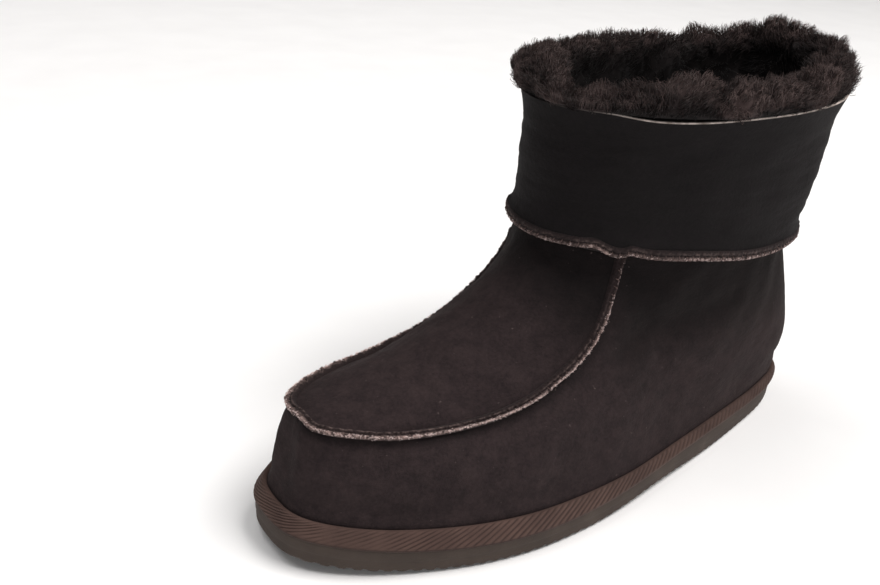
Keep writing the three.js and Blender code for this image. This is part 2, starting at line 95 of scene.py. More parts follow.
# Rings of the shaft: along, across, reach, half width, height in front, height behind
ANKLE = (96.7, -4.8, 74.5, 44.0, 112.4, 98.8)
TOP = (92.0, -4.5, 85.3, 50.5, 166.5, 164.2)
# Share of the shaft's height, how far it stands out from a straight side
SHAFT_SWELL = np.array([(0, 0), (0.12, 1.4), (0.3, 0.8), (0.55, -0.4), (0.8, -1.6), (1, 0)])


def read(table, column, at):
    """A table's column between its rows, as a smooth cubic."""
    keys = table[:, 0]
    values = table[:, column]
    last = len(keys) - 1
    at = np.clip(at, keys[0], keys[-1])
    i = np.clip(np.searchsorted(keys, at, side="right") - 1, 0, last - 1)
    before = np.maximum(np.arange(last + 1) - 1, 0)
    after = np.minimum(np.arange(last + 1) + 1, last)
    slope = (values[after] - values[before]) / (keys[after] - keys[before])
    span = keys[i + 1] - keys[i]
    t = (at - keys[i]) / span
    ease = t * t * (3 - 2 * t)
    bend = span * (slope[i] * t * (1 - t) ** 2 - slope[i + 1] * t * t * (1 - t))
    return values[i] + (values[i + 1] - values[i]) * ease + bend


def keyed(rows, last=None):
    """Rows with even keys in front of them, from 0 to last, or else counted from 0."""
    last = len(rows) - 1 if last is None else last
    return np.column_stack([np.linspace(0, last, len(rows)), rows])


def step(at, low, high):
    """Smooth step from 0 at low to 1 at high."""
    t = np.clip((at - low) / (high - low), 0, 1)
    return t * t * (3 - 2 * t)


def bell(at, middle, width):
    """Smooth bump of height one about a middle."""
    return np.exp(-((at - middle) / width) ** 2)


def unit(vectors):
    """Vectors of length one."""
    return vectors / np.maximum(np.linalg.norm(vectors, axis=-1, keepdims=True), 1e-9)


def push(points, ways, amount):
    """Points moved along ways by an amount."""
    return points + ways * np.asarray(amount)[..., None]


def spread(*values):
    """Values as arrays of one shape."""
    return np.broadcast_arrays(*[np.asarray(value, float) for value in values])


def spring(station):
    """Height that the toe spring adds."""
    share = np.maximum(0, (station - SPRING_START) / (SOLE_LENGTH - SPRING_START))
    return TOE_SPRING * share * share


def arch(station):
    """Height that the arch adds under the outsole."""
    share = np.clip((station - ARCH_BACK) / (ARCH_FRONT - ARCH_BACK), 0, 1)
    return ARCH_HEIGHT * np.sin(np.pi * share) ** 2


def outline(turn):
    """The foot outline at a turn in degrees, 0 at the toe and positive on the outer side."""
    angle = np.radians(turn)
    station = SOLE_LENGTH / 2 * (1 + np.cos(angle))
    sine = np.sin(angle)
    half = np.where(sine >= 0, read(OUTLINE, 1, station), read(OUTLINE, 2, station))
    power = HEEL_POWER + (TOE_POWER - HEEL_POWER) * station / SOLE_LENGTH
    middle = -TURNED_IN * (station / SOLE_LENGTH) ** 2
    across = middle + np.sign(sine) * half * np.abs(sine) ** power
    return np.stack([station, across, np.zeros_like(station)], -1)


def outwards(curve, turn):
    """Level direction outwards from a closed curve of the turn."""
    along = curve(turn + 1.0) - curve(turn - 1.0)
    return unit(np.stack([along[..., 1], -along[..., 0], np.zeros_like(along[..., 0])], -1))


def on_outline(turn, out, up):
    """A point of the foot outline moved out, at a height plus the toe spring."""
    turn, out, up = spread(turn, out, up)
    point = push(outline(turn), outwards(outline, turn), out)
    point[..., 2] = up + spring(point[..., 0])
    return point


def ring(sizes, turn):
    """A ring of the shaft at a turn in degrees, 0 at its front."""
    along, across, reach, half, front, back = sizes
    angle = np.radians(turn)
    forward = np.cos(angle)
    height = (front + back) / 2 + (front - back) / 2 * forward
    return np.stack([along + reach * forward, across + half * np.sin(angle), height], -1)


def top_ring(turn):
    """The shaft's top edge."""
    return ring(TOP, turn)


def top_edge(turn):
    """Upper edge of the wall: the apron's seam, then the ankle ring round the back."""
    at = np.abs(turn)
    side = np.sign(turn)
    share = (at - SEAM_END) / (180 - SEAM_END)
    behind = ring(ANKLE, side * (SEAM_END_ON_RING + (180 - SEAM_END_ON_RING) * share))
    across = read(SEAM, 2, at) + side * read(SEAM, 3, at)
    rise = read(SEAM, 4, at) + (side < 0) * read(SETTLED, 2, at)
    seam = np.stack([read(SEAM, 1, at), across, rise], -1)
    seam = seam + np.stack([read(WANDER, column, turn) for column in (1, 2, 3)], -1)
    return np.where((at > SEAM_END)[..., None], behind, seam)


def swell(at, share):
    """Outward swell of the wall at a share of its height."""
    total = 0
    for column in (1, 2, 3):
        basis = keyed(np.eye(5)[column], 1)
        total = total + read(SWELL, column, at) * read(basis, 1, share)
    return total


def wall(turn, share):
    """Outer face of the wall, from the band's top (share 0) to the upper edge (share 1)."""
    turn, share = spread(turn, share)
    foot = on_outline(turn, WALL_OUT_TOP, WALL_FOOT)
    out = outwards(outline, turn)
    ruling = top_edge(turn) - foot
    lean = np.arctan2(-(ruling * out).sum(-1), ruling[..., 2])
    amount = swell(np.abs(turn), share)
    point = push(push(foot, ruling, share), out, amount * np.cos(lean))
    point[..., 2] += amount * np.sin(lean)
    return point


def wall_middle(turn):
    """The wall's outer face at half its height."""
    return wall(turn, 0.5)


def apron_face(turn, share):
    """Outer face of the apron, from the ridge over the instep (share 0) to the seam (share 1)."""
    turn, share = spread(turn, share)
    at = np.abs(turn)
    edge = top_edge(turn)
    ridge = read(SEAM, 5, at)
    crest = read(SEAM, 6, at) - read(SETTLED, 1, at)
    middle = read(SEAM, 2, at)
    ahead = np.where(edge[..., 0] > ridge, share, share * share)
    return np.stack([
        ridge + (edge[..., 0] - ridge) * ahead,
        middle + (edge[..., 1] - middle) * share,
        crest + (edge[..., 2] - crest) * share * share,
    ], -1)


def length_of(face, turn):
    """Length of a face from share 0 to share 1."""
    return np.linalg.norm(face(turn, 1.0) - face(turn, 0.0), axis=-1)


def normal_of(face, turn, share):
    """Normal of a face given as a function of turn and share."""
    round_it = face(turn + 1.0, share) - face(turn - 1.0, share)
    upward = face(turn, share + 0.02) - face(turn, share - 0.02)
    return unit(np.cross(round_it, upward))


def apron_normal(turn, share):
    """Upward normal of the apron."""
    square = normal_of(apron_face, turn, np.maximum(share, 0.1))
    return square * np.where(square[..., 2:] < 0, -1, 1)


def wall_inwards(turn, share):
    """Thickness direction of the wall: level at foot and ankle ring, square to the face in between."""
    turn, share = spread(turn, share)
    level = -outwards(outline, turn)
    ringward = -outwards(top_edge, turn)
    square = normal_of(wall, turn, share)
    square = square * np.where((square * level).sum(-1, keepdims=True) < 0, -1, 1)
    behind = unit(push(level, ringward - level, share))
    front = unit(push(level, square - level, step(share, 0, 0.5)))
    return np.where((np.abs(turn) >= SEAM_END - 1)[..., None], behind, front)


def shaft_out(turn):
    """Level direction outwards from the shaft."""
    return outwards(top_ring, turn)


def shaft_face(turn, share):
    """Outer face of the shaft, from the ankle ring (share 0) to its top edge (share 1)."""
    turn, share = spread(turn, share)
    low = ring(ANKLE, turn)
    return push(push(low, top_ring(turn) - low, share), shaft_out(turn), read(SHAFT_SWELL, 1, share))


def wobble(points, size, seed):
    """Smooth seeded noise of about one, with bumps of the given size in millimetres."""
    waves = np.random.default_rng(seed)
    directions = unit(waves.normal(size=(9, 3)))
    lengths = size * waves.uniform(0.7, 1.5, (9, 1))
    phases = waves.uniform(0, 2 * np.pi, 9)
    return np.sin(points @ (2 * np.pi * directions / lengths).T + phases).sum(-1) / 3


def run_of(points):
    """Distance travelled along a path of points."""
    return np.concatenate([[0], np.cumsum(np.linalg.norm(np.diff(points, axis=0), axis=-1))])


def even_turns(curve, start, end, count):
    """Turns from start to end at equal steps of a curve's length, with the length."""
    fine = np.linspace(start, end, 4001)
    travelled = run_of(curve(fine))
    return np.interp(np.linspace(0, travelled[-1], count), travelled, fine), travelled[-1]


def ring_turns(count):
    """Turns round the shaft at equal steps of its length, with the length."""
    turns, length = even_turns(top_ring, -180.0, 180.0, count + 1)
    return turns[:-1], length


def grid_faces(rows, columns, close_rows=False, close_columns=True):
    """Faces over a grid of points, as triangles."""
    i, j = np.indices((rows - (not close_rows), columns - (not close_columns))).reshape(2, -1)
    row = i * columns
    next_row = (i + 1) % rows * columns
    next_j = (j + 1) % columns
    first = np.stack([row + j, next_row + j, next_row + next_j], -1)
    second = np.stack([row + j, next_row + next_j, row + next_j], -1)
    return np.concatenate([first, second])


def grid_normals(points):
    """Normals of a grid of points whose rows close on themselves."""
    along = np.roll(points, -1, 0) - np.roll(points, 1, 0)
    return unit(np.cross(along, np.gradient(points, axis=1)))


def weld(points, faces, values):
    """Points that lie together made one, and faces without area left out."""
    keys = np.round(points, 3)
    _, kept, place = np.unique(keys, axis=0, return_index=True, return_inverse=True)
    faces = place.reshape(-1)[faces]
    sound = (faces != np.roll(faces, 1, 1)).all(1)
    return points[kept], faces[sound], {name: value[kept] for name, value in values.items()}


def add_object(name, data):
    """An object of the scene that shows the data."""
    thing = bpy.data.objects.new(name, data)
    bpy.context.scene.collection.objects.link(thing)
    return thing


def add_piece(name, points, faces, material, slot, *nodes, **values):
    """A piece in place of nodes, from points in millimetres, with named values for its material."""
    values = {key: np.broadcast_to(value, points.shape[:-1]).reshape(-1) for key, value in values.items()}
    points, faces, values = weld(points.reshape(-1, 3), faces, values)
    corners = points[faces]
    volume = (corners[:, 0] * np.cross(corners[:, 1], corners[:, 2])).sum()
    if volume < 0:
        faces = faces[:, ::-1]
    mesh = bpy.data.meshes.new(name)
    mesh.vertices.add(len(points))
    mesh.vertices.foreach_set("co", ((points - ORIGIN) / 1000).ravel())
    mesh.loops.add(faces.size)
    mesh.loops.foreach_set("vertex_index", faces.ravel().astype(np.int32))
    mesh.polygons.add(len(faces))
    mesh.polygons.foreach_set("loop_start", np.arange(0, faces.size, 3, dtype=np.int32))
    mesh.update(calc_edges=True)
    mesh.shade_smooth()
    for key, value in values.items():
        mesh.attributes.new(key, "FLOAT", "POINT").data.foreach_set("value", value.astype(np.float32))
    mesh.materials.append(material)
    piece = add_object(name, mesh)
    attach(piece, "root")
    if nodes:
        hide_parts(*nodes)


def add_grid(name, skin, material, slot, *nodes, closed=True, **values):
    """A piece whose skin is a grid of points, its columns closed and, if asked, its rows too."""
    add_piece(name, skin, grid_faces(*skin.shape[:2], closed), material, slot, *nodes, **values)


def rgb(red, green, blue):
    """A colour of the screen, 0 to 255, as the shader's own."""
    share = np.array([red, green, blue]) / 255
    linear = np.where(share <= 0.04045, share / 12.92, ((share + 0.055) / 1.055) ** 2.4)
    return (*linear, 1.0)


def grey(level):
    """A grey in the shader's own measure, 0 to 1."""
    return (level, level, level, 1)


class Looks:
    """A material whose nodes are laid out by short calls."""

    def __init__(self, name, roughness, specular, sheen=0.0, sheen_roughness=0.5, sheen_tint=None):
        self.material = bpy.data.materials.new(name)
        self.material.use_nodes = True
        self.tree = self.material.node_tree
        self.shader = self.tree.nodes["Principled BSDF"]
        self.put(self.shader, {"Roughness": roughness, "Specular IOR Level": specular})
        self.put(self.shader, {"Sheen Weight": sheen, "Sheen Roughness": sheen_roughness})
        if sheen_tint:
            self.put(self.shader, {"Sheen Tint": sheen_tint})
        self.place = self.add("TexCoord", "Object")

    def put(self, node, inputs):
        """Sets inputs of a node, each to a constant or to another node's output."""
        for key, value in inputs.items():
            if isinstance(value, bpy.types.NodeSocket):
                self.tree.links.new(value, node.inputs[key])
            else:
                node.inputs[key].default_value = value

    def add(self, kind, output, inputs=None, **settings):
        """The output of a new node with the given inputs and settings."""
        node = self.tree.nodes.new("ShaderNode" + kind)
        for key, value in settings.items():
            setattr(node, key, value)
        self.put(node, inputs or {})
        return node.outputs[output]

    def stretched(self, *scale):
        """Coordinates scaled by axis."""
        return self.add("Mapping", "Vector", {"Scale": scale, "Vector": self.place})

    def noise(self, size, detail, roughness, place=None):
        """Noise with features of the given size in millimetres."""
        inputs = {"Scale": 1000 / size, "Detail": detail, "Roughness": roughness}
        return self.add("TexNoise", "Fac", {**inputs, "Vector": place or self.place})

    def value(self, name):
        """A value that the mesh carries."""
        return self.add("Attribute", "Fac", attribute_name=name)

    def ramp(self, factor, *stops):
        """A colour ramp of (place, colour) stops."""
        node = self.tree.nodes.new("ShaderNodeValToRGB")
        elements = node.color_ramp.elements
        while len(elements) < len(stops):
            elements.new(0.5)
        for element, (place, colour) in zip(elements, stops):
            element.position = place
            element.color = colour
        self.put(node, {"Fac": factor})
        return node.outputs["Color"]

    def math(self, operation, first, second):
        """Arithmetic of two values, each a socket or a number."""
        return self.add("Math", "Value", {0: first, 1: second}, operation=operation)

    def mix(self, factor, first, second):
        """A mix of two colours by a factor."""
        return self.add("Mix", 2, {"Factor": factor, 6: first, 7: second}, data_type="RGBA")

    def done(self, colour, rough=None, *bumps):
        """The material with its colour, its (source, low, high) roughness and its (height, depth) bumps."""
        inputs = {}
        for height, depth in bumps:
            inputs.update({"Height": height, "Distance": depth / 1000})
            inputs = {"Normal": self.add("Bump", "Normal", inputs)}
        if rough:
            between = dict(zip(("Value", "To Min", "To Max"), rough))
            inputs["Roughness"] = self.add("MapRange", "Result", between)
        self.put(self.shader, {"Base Color": colour, **inputs})
        return self.material


def suede(name, dark, middle, light):
    """Short-napped suede with brushed patches, wrinkles and flecks, and painted shade by the mesh's value
    shade.
    """
    looks = Looks(name, 0.95, 0.12, sheen=0.05, sheen_roughness=0.4, sheen_tint=rgb(170, 145, 138))
    patches = looks.noise(24, 4, 0.6)
    mottle = looks.noise(6, 5, 0.7)
    wrinkle = looks.noise(3, 4, 0.65, looks.stretched(0.55, 0.55, 1.7))
    nap = looks.noise(1.3, 4, 0.75)
    base = looks.ramp(patches, (0.3, dark), (0.52, middle), (0.72, light))
    brushed = looks.mix(0.45, base, looks.ramp(mottle, (0.38, dark), (0.62, light)))
    worn = looks.mix(0.35, brushed, looks.ramp(nap, (0.4, dark), (0.64, light)))
    # Painted shade: the value shade mixes the suede towards near black where shade falls.
    with_painted_shade = looks.mix(looks.value("shade"), worn, rgb(12, 11, 11))
    lint = looks.ramp(looks.noise(1.6, 1, 0.5), (0.77, grey(0)), (0.81, grey(0.4)))
    flecked = looks.mix(lint, with_painted_shade, rgb(112, 98, 95))
    return looks.done(flecked, (nap, 0.88, 1.0), (wrinkle, 0.45), (nap, 0.4))


def raw_edge(name, dark, middle, pale):
    """Suede that turns pale in broken specks at its cut edge, by the mesh's value raw."""
    looks = Looks(name, 0.95, 0.12, sheen=0.03)
    fibre = looks.noise(0.7, 4, 0.75)
    speck = looks.noise(1.5, 3, 0.7)
    patch = looks.noise(9, 3, 0.6)
    suede_tone = looks.ramp(fibre, (0.35, dark), (0.7, middle))
    cut_tone = looks.ramp(fibre, (0.28, rgb(128, 102, 98)), (0.58, pale))
    whole = looks.math("MULTIPLY", looks.value("raw"), looks.math("ADD", patch, 0.55))
    shown = looks.ramp(speck, (0.36, grey(0.12)), (0.54, grey(1)))
    edged = looks.mix(looks.math("MULTIPLY", whole, shown), suede_tone, cut_tone)
    return looks.done(edged, (fibre, 0.88, 1.0), (speck, 0.4), (fibre, 0.25))


def leather_with_edge(name, dark, middle, light, pale):
    """Leather with fine level wrinkles and a pale cut edge, by the mesh's value raw."""
    looks = Looks(name, 0.85, 0.14, sheen=0.015, sheen_roughness=0.4, sheen_tint=rgb(150, 130, 126))
    patches = looks.noise(22, 4, 0.6)
    level = looks.noise(3.4, 5, 0.7, looks.stretched(0.6, 0.6, 1.5))
    grain = looks.noise(1.6, 4, 0.7)
    base = looks.ramp(patches, (0.3, dark), (0.55, middle), (0.75, light))
    lines = looks.ramp(level, (0.4, dark), (0.6, light))
    worn = looks.mix(0.35, looks.mix(0.25, base, lines), looks.ramp(grain, (0.35, dark), (0.65, light)))
    cut = looks.ramp(looks.noise(5, 3, 0.6), (0.3, rgb(120, 108, 100)), (0.6, pale))
    edged = looks.mix(looks.value("raw"), worn, cut)
    return looks.done(edged, (level, 0.75, 0.95), (level, 0.4), (grain, 0.35))


def thread(name, dark, light):
    """Twisted sewing thread."""
    looks = Looks(name, 0.85, 0.15, sheen=0.03)
    twist = looks.noise(0.5, 2, 0.5)
    return looks.done(looks.ramp(twist, (0.3, dark), (0.65, light)), (twist, 0.65, 0.85), (twist, 0.12))


def rubber(name, dark, middle, light):
    """Matt foam rubber with fine speckle and dusty patches."""
    looks = Looks(name, 0.85, 0.3)
    patches = looks.noise(22, 4, 0.6)
    speckle = looks.noise(0.8, 3, 0.6)
    base = looks.ramp(patches, (0.32, dark), (0.55, middle), (0.72, light))
    dusty = looks.mix(looks.math("MULTIPLY", speckle, 0.3), base, light)
    return looks.done(dusty, (speckle, 0.72, 0.95), (speckle, 0.15))


def ribbed(name, groove, middle, light):
    """Woven band with painted shade in the grooves between its ribs and a painted shadow line along its
    foot, by the mesh's value rib.
    """
    looks = Looks(name, 0.85, 0.2, sheen=0.03)
    patches = looks.noise(18, 4, 0.6)
    fibre = looks.noise(0.5, 3, 0.6)
    tone = looks.ramp(patches, (0.3, middle), (0.72, light))
    # Painted shade: where the value rib is low, the band mixes towards its groove colour.
    ribs = looks.mix(looks.value("rib"), looks.mix(0.35, groove, tone), tone)
    return looks.done(ribs, (fibre, 0.75, 0.95), (fibre, 0.18))


def fur(name, root, middle, tip):
    """Fur that lightens from root to tip and varies from hair to hair, with painted light and shade by the
    mesh's values along and tone.
    """
    looks = Looks(name, 0.9, 0.1, sheen=0.04, sheen_roughness=0.4)
    strand = looks.ramp(looks.value("along"), (0.0, root), (0.5, middle), (1.0, tip))
    patches = looks.noise(12, 3, 0.6)
    shade = looks.math("MULTIPLY", looks.value("tone"), looks.math("ADD", patches, 0.35))
    return looks.done(looks.mix(shade, looks.mix(0.7, strand, root), strand), (patches, 0.8, 1.0))


def pile(name, dark, light):
    """Matted wool pile."""
    looks = Looks(name, 1.0, 0.08, sheen=0.02, sheen_roughness=0.6)
    tuft = looks.noise(4, 4, 0.7)
    hair = looks.noise(0.7, 3, 0.6)
    tones = [looks.ramp(source, (0.3, dark), (0.7, light)) for source in (tuft, hair)]
    return looks.done(looks.mix(0.4, *tones), (tuft, 0.9, 1.0), (tuft, 1.2), (hair, 0.4))


PALE = rgb(210, 183, 175)
upper_suede = suede("upper_suede", rgb(32, 26, 27), rgb(43, 35, 36), rgb(56, 46, 46))
apron_suede = suede("apron_suede", rgb(31, 25, 26), rgb(42, 34, 35), rgb(54, 44, 44))
seam_edge = raw_edge("seam_edge", rgb(27, 21, 21), rgb(50, 40, 40), PALE)
flange_edge = raw_edge("flange_edge", rgb(27, 22, 22), rgb(47, 38, 38), PALE)
cuff_leather = leather_with_edge(
    "cuff_leather", rgb(15, 13, 13), rgb(20, 17, 18), rgb(26, 22, 23), rgb(220, 206, 198))
seam_thread = thread("seam_thread", rgb(60, 48, 46), rgb(112, 92, 88))
edge_fibre = thread("edge_fibre", rgb(182, 156, 152), rgb(248, 230, 225))
sole_rubber = rubber("sole_rubber", rgb(57, 48, 43), rgb(67, 57, 51), rgb(79, 69, 62))
band_weave = ribbed("band_weave", rgb(38, 28, 25), rgb(73, 56, 51), rgb(92, 72, 65))
collar_fur = fur("collar_fur", rgb(20, 17, 17), rgb(54, 44, 43), rgb(104, 88, 85))
wool_pile = pile("wool_pile", rgb(30, 23, 22), rgb(72, 57, 53))

# Section of the outsole's side: inset from the outline and up
OUTSOLE_SECTION = np.array([
    (1.6, 0), (1.05, 0.25), (0.6, 0.7), (0.36, 1.4), (0.3, 2.2), (0.3, 3.8), (0.3, 5.2), (0.22, 5.6),
    (0.06, 5.9), (0, 6.2), (0, 8), (0, 9.6), (0.1, 10.6), (0.35, 11),
])
STEP_LEVEL = 6.0
TOE_INSET = 0.4
BACK_INSET = 0.8
HEEL_INSET = 1.2
HEEL_TURNS = (140, 160)
HEEL_BEVEL = 0.25
TOOTH_PITCH = 5.0
TOOTH_DEPTH = 0.7
TOOTH_LEVEL = 2.0
TREAD = ((14.0, 68.0), (164.0, 250.0))
GROOVE_PITCH = 6.8
GROOVE_WIDTH = 2.6
GROOVE_DEPTH = 1.6
TREAD_BORDER = 9.0
# Section of the footbed: inset from the outline and up
INSOLE_SECTION = np.array([(7.2, 11.3), (9.4, 16), (10.6, 17)])

# Section of the band, out from the outline and up from the outsole: foot, ends of the face, back
RAND_FOOT = [(-0.4, 0.3), (0.05, 0.5), (0.25, 1.1)]
RAND_FACE = [(0.2, 1.8), (-3.4, 7.4)]
RAND_BACK = [(-3.9, 7.85), (-4.5, 8), (-5.2, 7.8), (-5.6, 7.2), (-4.4, 3.5), (-3.2, 0.3)]
FACE_ROWS = 9
# Way down the band's face, out and up
DOWN_FACE = (0.54, -0.84)
# Turn, how far the sewn band's foot rises on the outsole, and how far its top sinks down its face
RAND_RUN = np.array([
    (0, -0.6, 1.2), (32, -0.6, 1.3), (49, -1.1, 1.3), (60, -1.6, 1.6), (69, -1.8, 2.0), (82, -1.1, 2.5),
    (92, 0.2, 3.0), (106, 1.9, 2.5), (120, 1.7, 2.6), (133, 1.0, 3.0), (150, 1.3, 3.0), (180, 1.3, 3.0),
])
RIB_PITCH = 3.8
RIB_ANGLE = math.radians(23)
RIB_STEPS = 6
RIB_HEIGHT = 0.45
RIB_RUN = 9.0


def both_sides(turns, out, up):
    """Points out from the outline and up, on the outer and on the inner side."""
    return [on_outline(side * turns[:, None], out, up) for side in (1, -1)]


def between(start, end, count):
    """Columns of points from one edge to another, without the edges."""
    return start + (end - start) * np.linspace(0, 1, count)[1:-1, None]


def make_outsole():
    """Skin from toe to heel with the stepped side, a serrated tread edge and cross grooves."""
    turns, _ = even_turns(outline, 0.0, 180.0, 320)
    at_heel = step(turns, *HEEL_TURNS)[:, None]
    inset = TOE_INSET + BACK_INSET * step(turns, 60, 150)[:, None] + HEEL_INSET * at_heel
    raised = np.maximum(read(RAND_RUN, 1, turns), 0)[:, None]
    bevel = 1 + (HEEL_BEVEL - 1) * at_heel
    side_in, side_up = OUTSOLE_SECTION.T
    level = side_up + raised * np.maximum(side_up - STEP_LEVEL, 0) / (OUTSOLE_HEIGHT - STEP_LEVEL)
    outer, inner = both_sides(turns, -side_in * bevel - inset, level)
    beside = step(np.abs(np.sin(np.radians(turns)))[:, None], 0.1, 0.4)
    for point in (outer, inner):
        point[..., 2] += arch(point[..., 0]) * np.maximum(1 - level / OUTSOLE_HEIGHT, 0)
        notch = TOOTH_DEPTH * step(np.cos(2 * np.pi * point[..., 0] / TOOTH_PITCH), -0.3, 0.5)
        point[..., 2] += notch * step(TOOTH_LEVEL - level, 0, 1.6) * beside
    floor = between(inner[:, :1], outer[:, :1], 26)
    along, across = floor[..., 0], floor[..., 1]
    border = np.minimum(np.abs(across - outer[:, :1, 1]), np.abs(across - inner[:, :1, 1]))
    groove = np.zeros(along.shape)
    for start, end in TREAD:
        pitch = (end - start) / round((end - start) / GROOVE_PITCH)
        off = np.abs((along - start + pitch / 2) % pitch - pitch / 2)
        zone = (along > start - GROOVE_WIDTH) & (along < end + GROOVE_WIDTH)
        groove = np.maximum(groove, zone * step(GROOVE_WIDTH / 2 + 0.3 - off, 0, 0.6))
    floor[..., 2] = arch(along) + spring(along)
    floor[..., 2] += GROOVE_DEPTH * groove * step(border, TREAD_BORDER - 2.5, TREAD_BORDER)
    roof = between(outer[:, -1:], inner[:, -1:], 8)
    roof[..., 2] = OUTSOLE_HEIGHT + spring(roof[..., 0])
    skin = np.concatenate([floor, outer, roof, inner[:, ::-1]], 1)
    add_grid("outsole_skin", skin, sole_rubber, "outsole", "outsole", closed=False)


def make_rand():
    """Band round the foot, with slanted ribs on its sloping face."""
    _, length = even_turns(outline, -180.0, 180.0, 2)
    ribs = round(length / RIB_PITCH)
    looped, _ = even_turns(outline, -180.0, 180.0, ribs * RIB_STEPS + 1)
    travelled = np.linspace(0, length, ribs * RIB_STEPS + 1)
    section = np.concatenate([RAND_FOOT, np.linspace(*RAND_FACE, FACE_ROWS), RAND_BACK])
    run = run_of(section)
    lean = np.maximum(run - run[3], 0) / math.tan(RIB_ANGLE)
    lean[-3:] = lean[-4] * np.array([0.7, 0.4, 0.1])
    feet = looped[:-1]
    narrowed = 1 - (read(RAND_RUN, 1, np.abs(feet)) + read(RAND_RUN, 2, np.abs(feet))) / RIB_RUN
    narrowed = narrowed * (1 - 0.35 * step(feet, 34, 62) + 0.35 * step(16 - feet, 0, 24))
    narrowed = narrowed * (1 - 0.4 * step(-feet, 45, 75))
    turns = np.interp((travelled[:-1, None] + lean * narrowed[:, None]) % length, travelled, looped)
    side = np.abs(turns)
    upper_share = np.concatenate([np.zeros(3), np.linspace(0, 1, FACE_ROWS), [1, 1, 1, 1, 0.5, 0]])
    sunk = read(RAND_RUN, 2, side) * upper_share
    raised = read(RAND_RUN, 1, side) * (1 - upper_share)
    out = section[:, 0] + DOWN_FACE[0] * sunk
    out = out - HEEL_INSET * step(side, *HEEL_TURNS) * (1 - upper_share)
    up = OUTSOLE_HEIGHT + section[:, 1] + DOWN_FACE[1] * sunk + raised
    rib = np.abs(np.sin(np.pi * np.arange(ribs * RIB_STEPS) / RIB_STEPS))[:, None] ** 0.7
    on_face = step(run, run[2], run[4]) * step(run[13] - run, 0, 1.2)
    worn = bell(turns, 30, 17)
    firm = 1 - 0.6 * worn + 0.9 * bell(side, 78, 16) - 0.5 * step(side, 100, 130)
    firm = firm + 0.25 * wobble(on_outline(turns, out, up), 9, 17)
    relief = RIB_HEIGHT * (rib - 0.6) * on_face * np.minimum(firm, 1.25)
    points = on_outline(turns, out - DOWN_FACE[1] * relief, up + DOWN_FACE[0] * relief)
    # Painted shade: the value rib is low, so the band dark, in the grooves between the ribs; its level is
    # also lower where the ribs are worn and from the sides back.
    level = 0.75 - 0.2 * worn - 0.3 * step(side, 58, 74)
    grooves = np.clip(level + (rib - 0.75) * (on_face > 0.3) * firm, 0, 1)
    # Painted shadow: the band's three foot rows are dark round the toe, under the band's lip, and turn light
    # from the sides back.
    grooves[:, :3] = 0.9 * step(side[:, :3], 62, 95)
    add_grid("rand_band", points, band_weave, "rand", "rand", rib=grooves)


def make_insole():
    """Footbed with a tufted pile."""
    turns, _ = even_turns(outline, 0.0, 180.0, 120)
    outer, inner = both_sides(turns, -INSOLE_SECTION[:, 0], INSOLE_SECTION[:, 1])
    roof = between(outer[:, -1:], inner[:, -1:], 44)
    roof[..., 2] += 0.5 * wobble(roof, 5, 3) + 0.35 * wobble(roof, 2.6, 4)
    floor = between(inner[:, :1], outer[:, :1], 6)
    skin = np.concatenate([floor, outer, roof, inner[:, ::-1]], 1)
    add_grid("insole_pile", skin, wool_pile, "insole", "insole", closed=False)


make_outsole()
make_rand()
make_insole()

# Creases of the wall: knots of turn and share, half width, depth; a ridge has a depth below zero
WALL_CREASES = (
    (((96.5, 0.72), (106, 0.615), (117, 0.675), (128, 0.735)), 5.0, 2.3),
    (((99, 0.86), (104.5, 0.76), (111, 0.8)), 6.0, -1.5),
    (((108, 0.47), (120, 0.52), (132, 0.58)), 7.0, -0.7),
    (((122, 0.86), (150, 0.9), (178, 0.9)), 8.0, 1.0),
    (((-98, 0.55), (-108, 0.64), (-120, 0.76)), 7.0, 1.5),
    (((-124, 0.84), (-150, 0.9), (-178, 0.9)), 9.0, 1.0),
    (((-1.2, 0.85), (0.4, 0.6), (0.8, 0.3)), 3.0, 0.5),
    (((5.6, 0.85), (7.1, 0.65), (8.3, 0.35)), 3.0, -0.4),
    (((-12, 0.85), (-11, 0.6), (-10, 0.3)), 3.5, -0.4),
    (((70, 0.86), (84, 0.84), (94, 0.8)), 5.0, 0.6),
)
# Creases of the apron, whose shares below zero are on the inner side
APRON_CREASES = (
    (((98, -0.6), (100, 0.0), (98, 0.6)), 5.0, 0.7),
    (((90, -0.5), (91, 0.0), (89, 0.6)), 4.0, 0.35),
    (((92, 0.6), (86, 0.72), (78, 0.8)), 5.0, 0.5),
    (((92, -0.6), (86, -0.72), (78, -0.8)), 5.0, 0.5),
)
SHAFT_CREASES = (
    (((30, 0.2), (50, 0.26), (75, 0.22)), 7.0, 0.8),
    (((60, 0.62), (85, 0.55), (110, 0.6)), 10.0, 0.8),
    (((-20, 0.3), (0, 0.35), (18, 0.3)), 8.0, 0.9),
    (((150, 0.3), (165, 0.34), (178, 0.3)), 9.0, 0.8),
    (((-60, 0.5), (-90, 0.55), (-120, 0.5)), 10.0, 0.8),
    (((-130, 0.3), (-155, 0.36), (-178, 0.3)), 9.0, 0.8),
)
PATH_STEPS = 24
# No dent is as deep as the wall is thick
DEEPEST = 2.2


def from_path(points, path):
    """Distance of each point from a path of points."""
    nearest = np.full(points.shape[:-1], np.inf)
    for start, end in zip(path[:-1], path[1:]):
        along = end - start
        share = np.clip(((points - start) @ along) / (along @ along), 0, 1)
        nearest = np.minimum(nearest, np.linalg.norm(points - start - share[..., None] * along, axis=-1))
    return nearest


def creased(points, creases, face):
    """Depth at each point of a face's creases, which are smooth paths through their knots."""
    depth = np.zeros(points.shape[:-1])
    for knots, width, amount in creases:
        table = keyed(knots)
        at = np.linspace(0, len(knots) - 1, PATH_STEPS)
        path = face(read(table, 1, at), read(table, 2, at))
        depth += amount * bell(from_path(points, path), 0, width)
    return depth


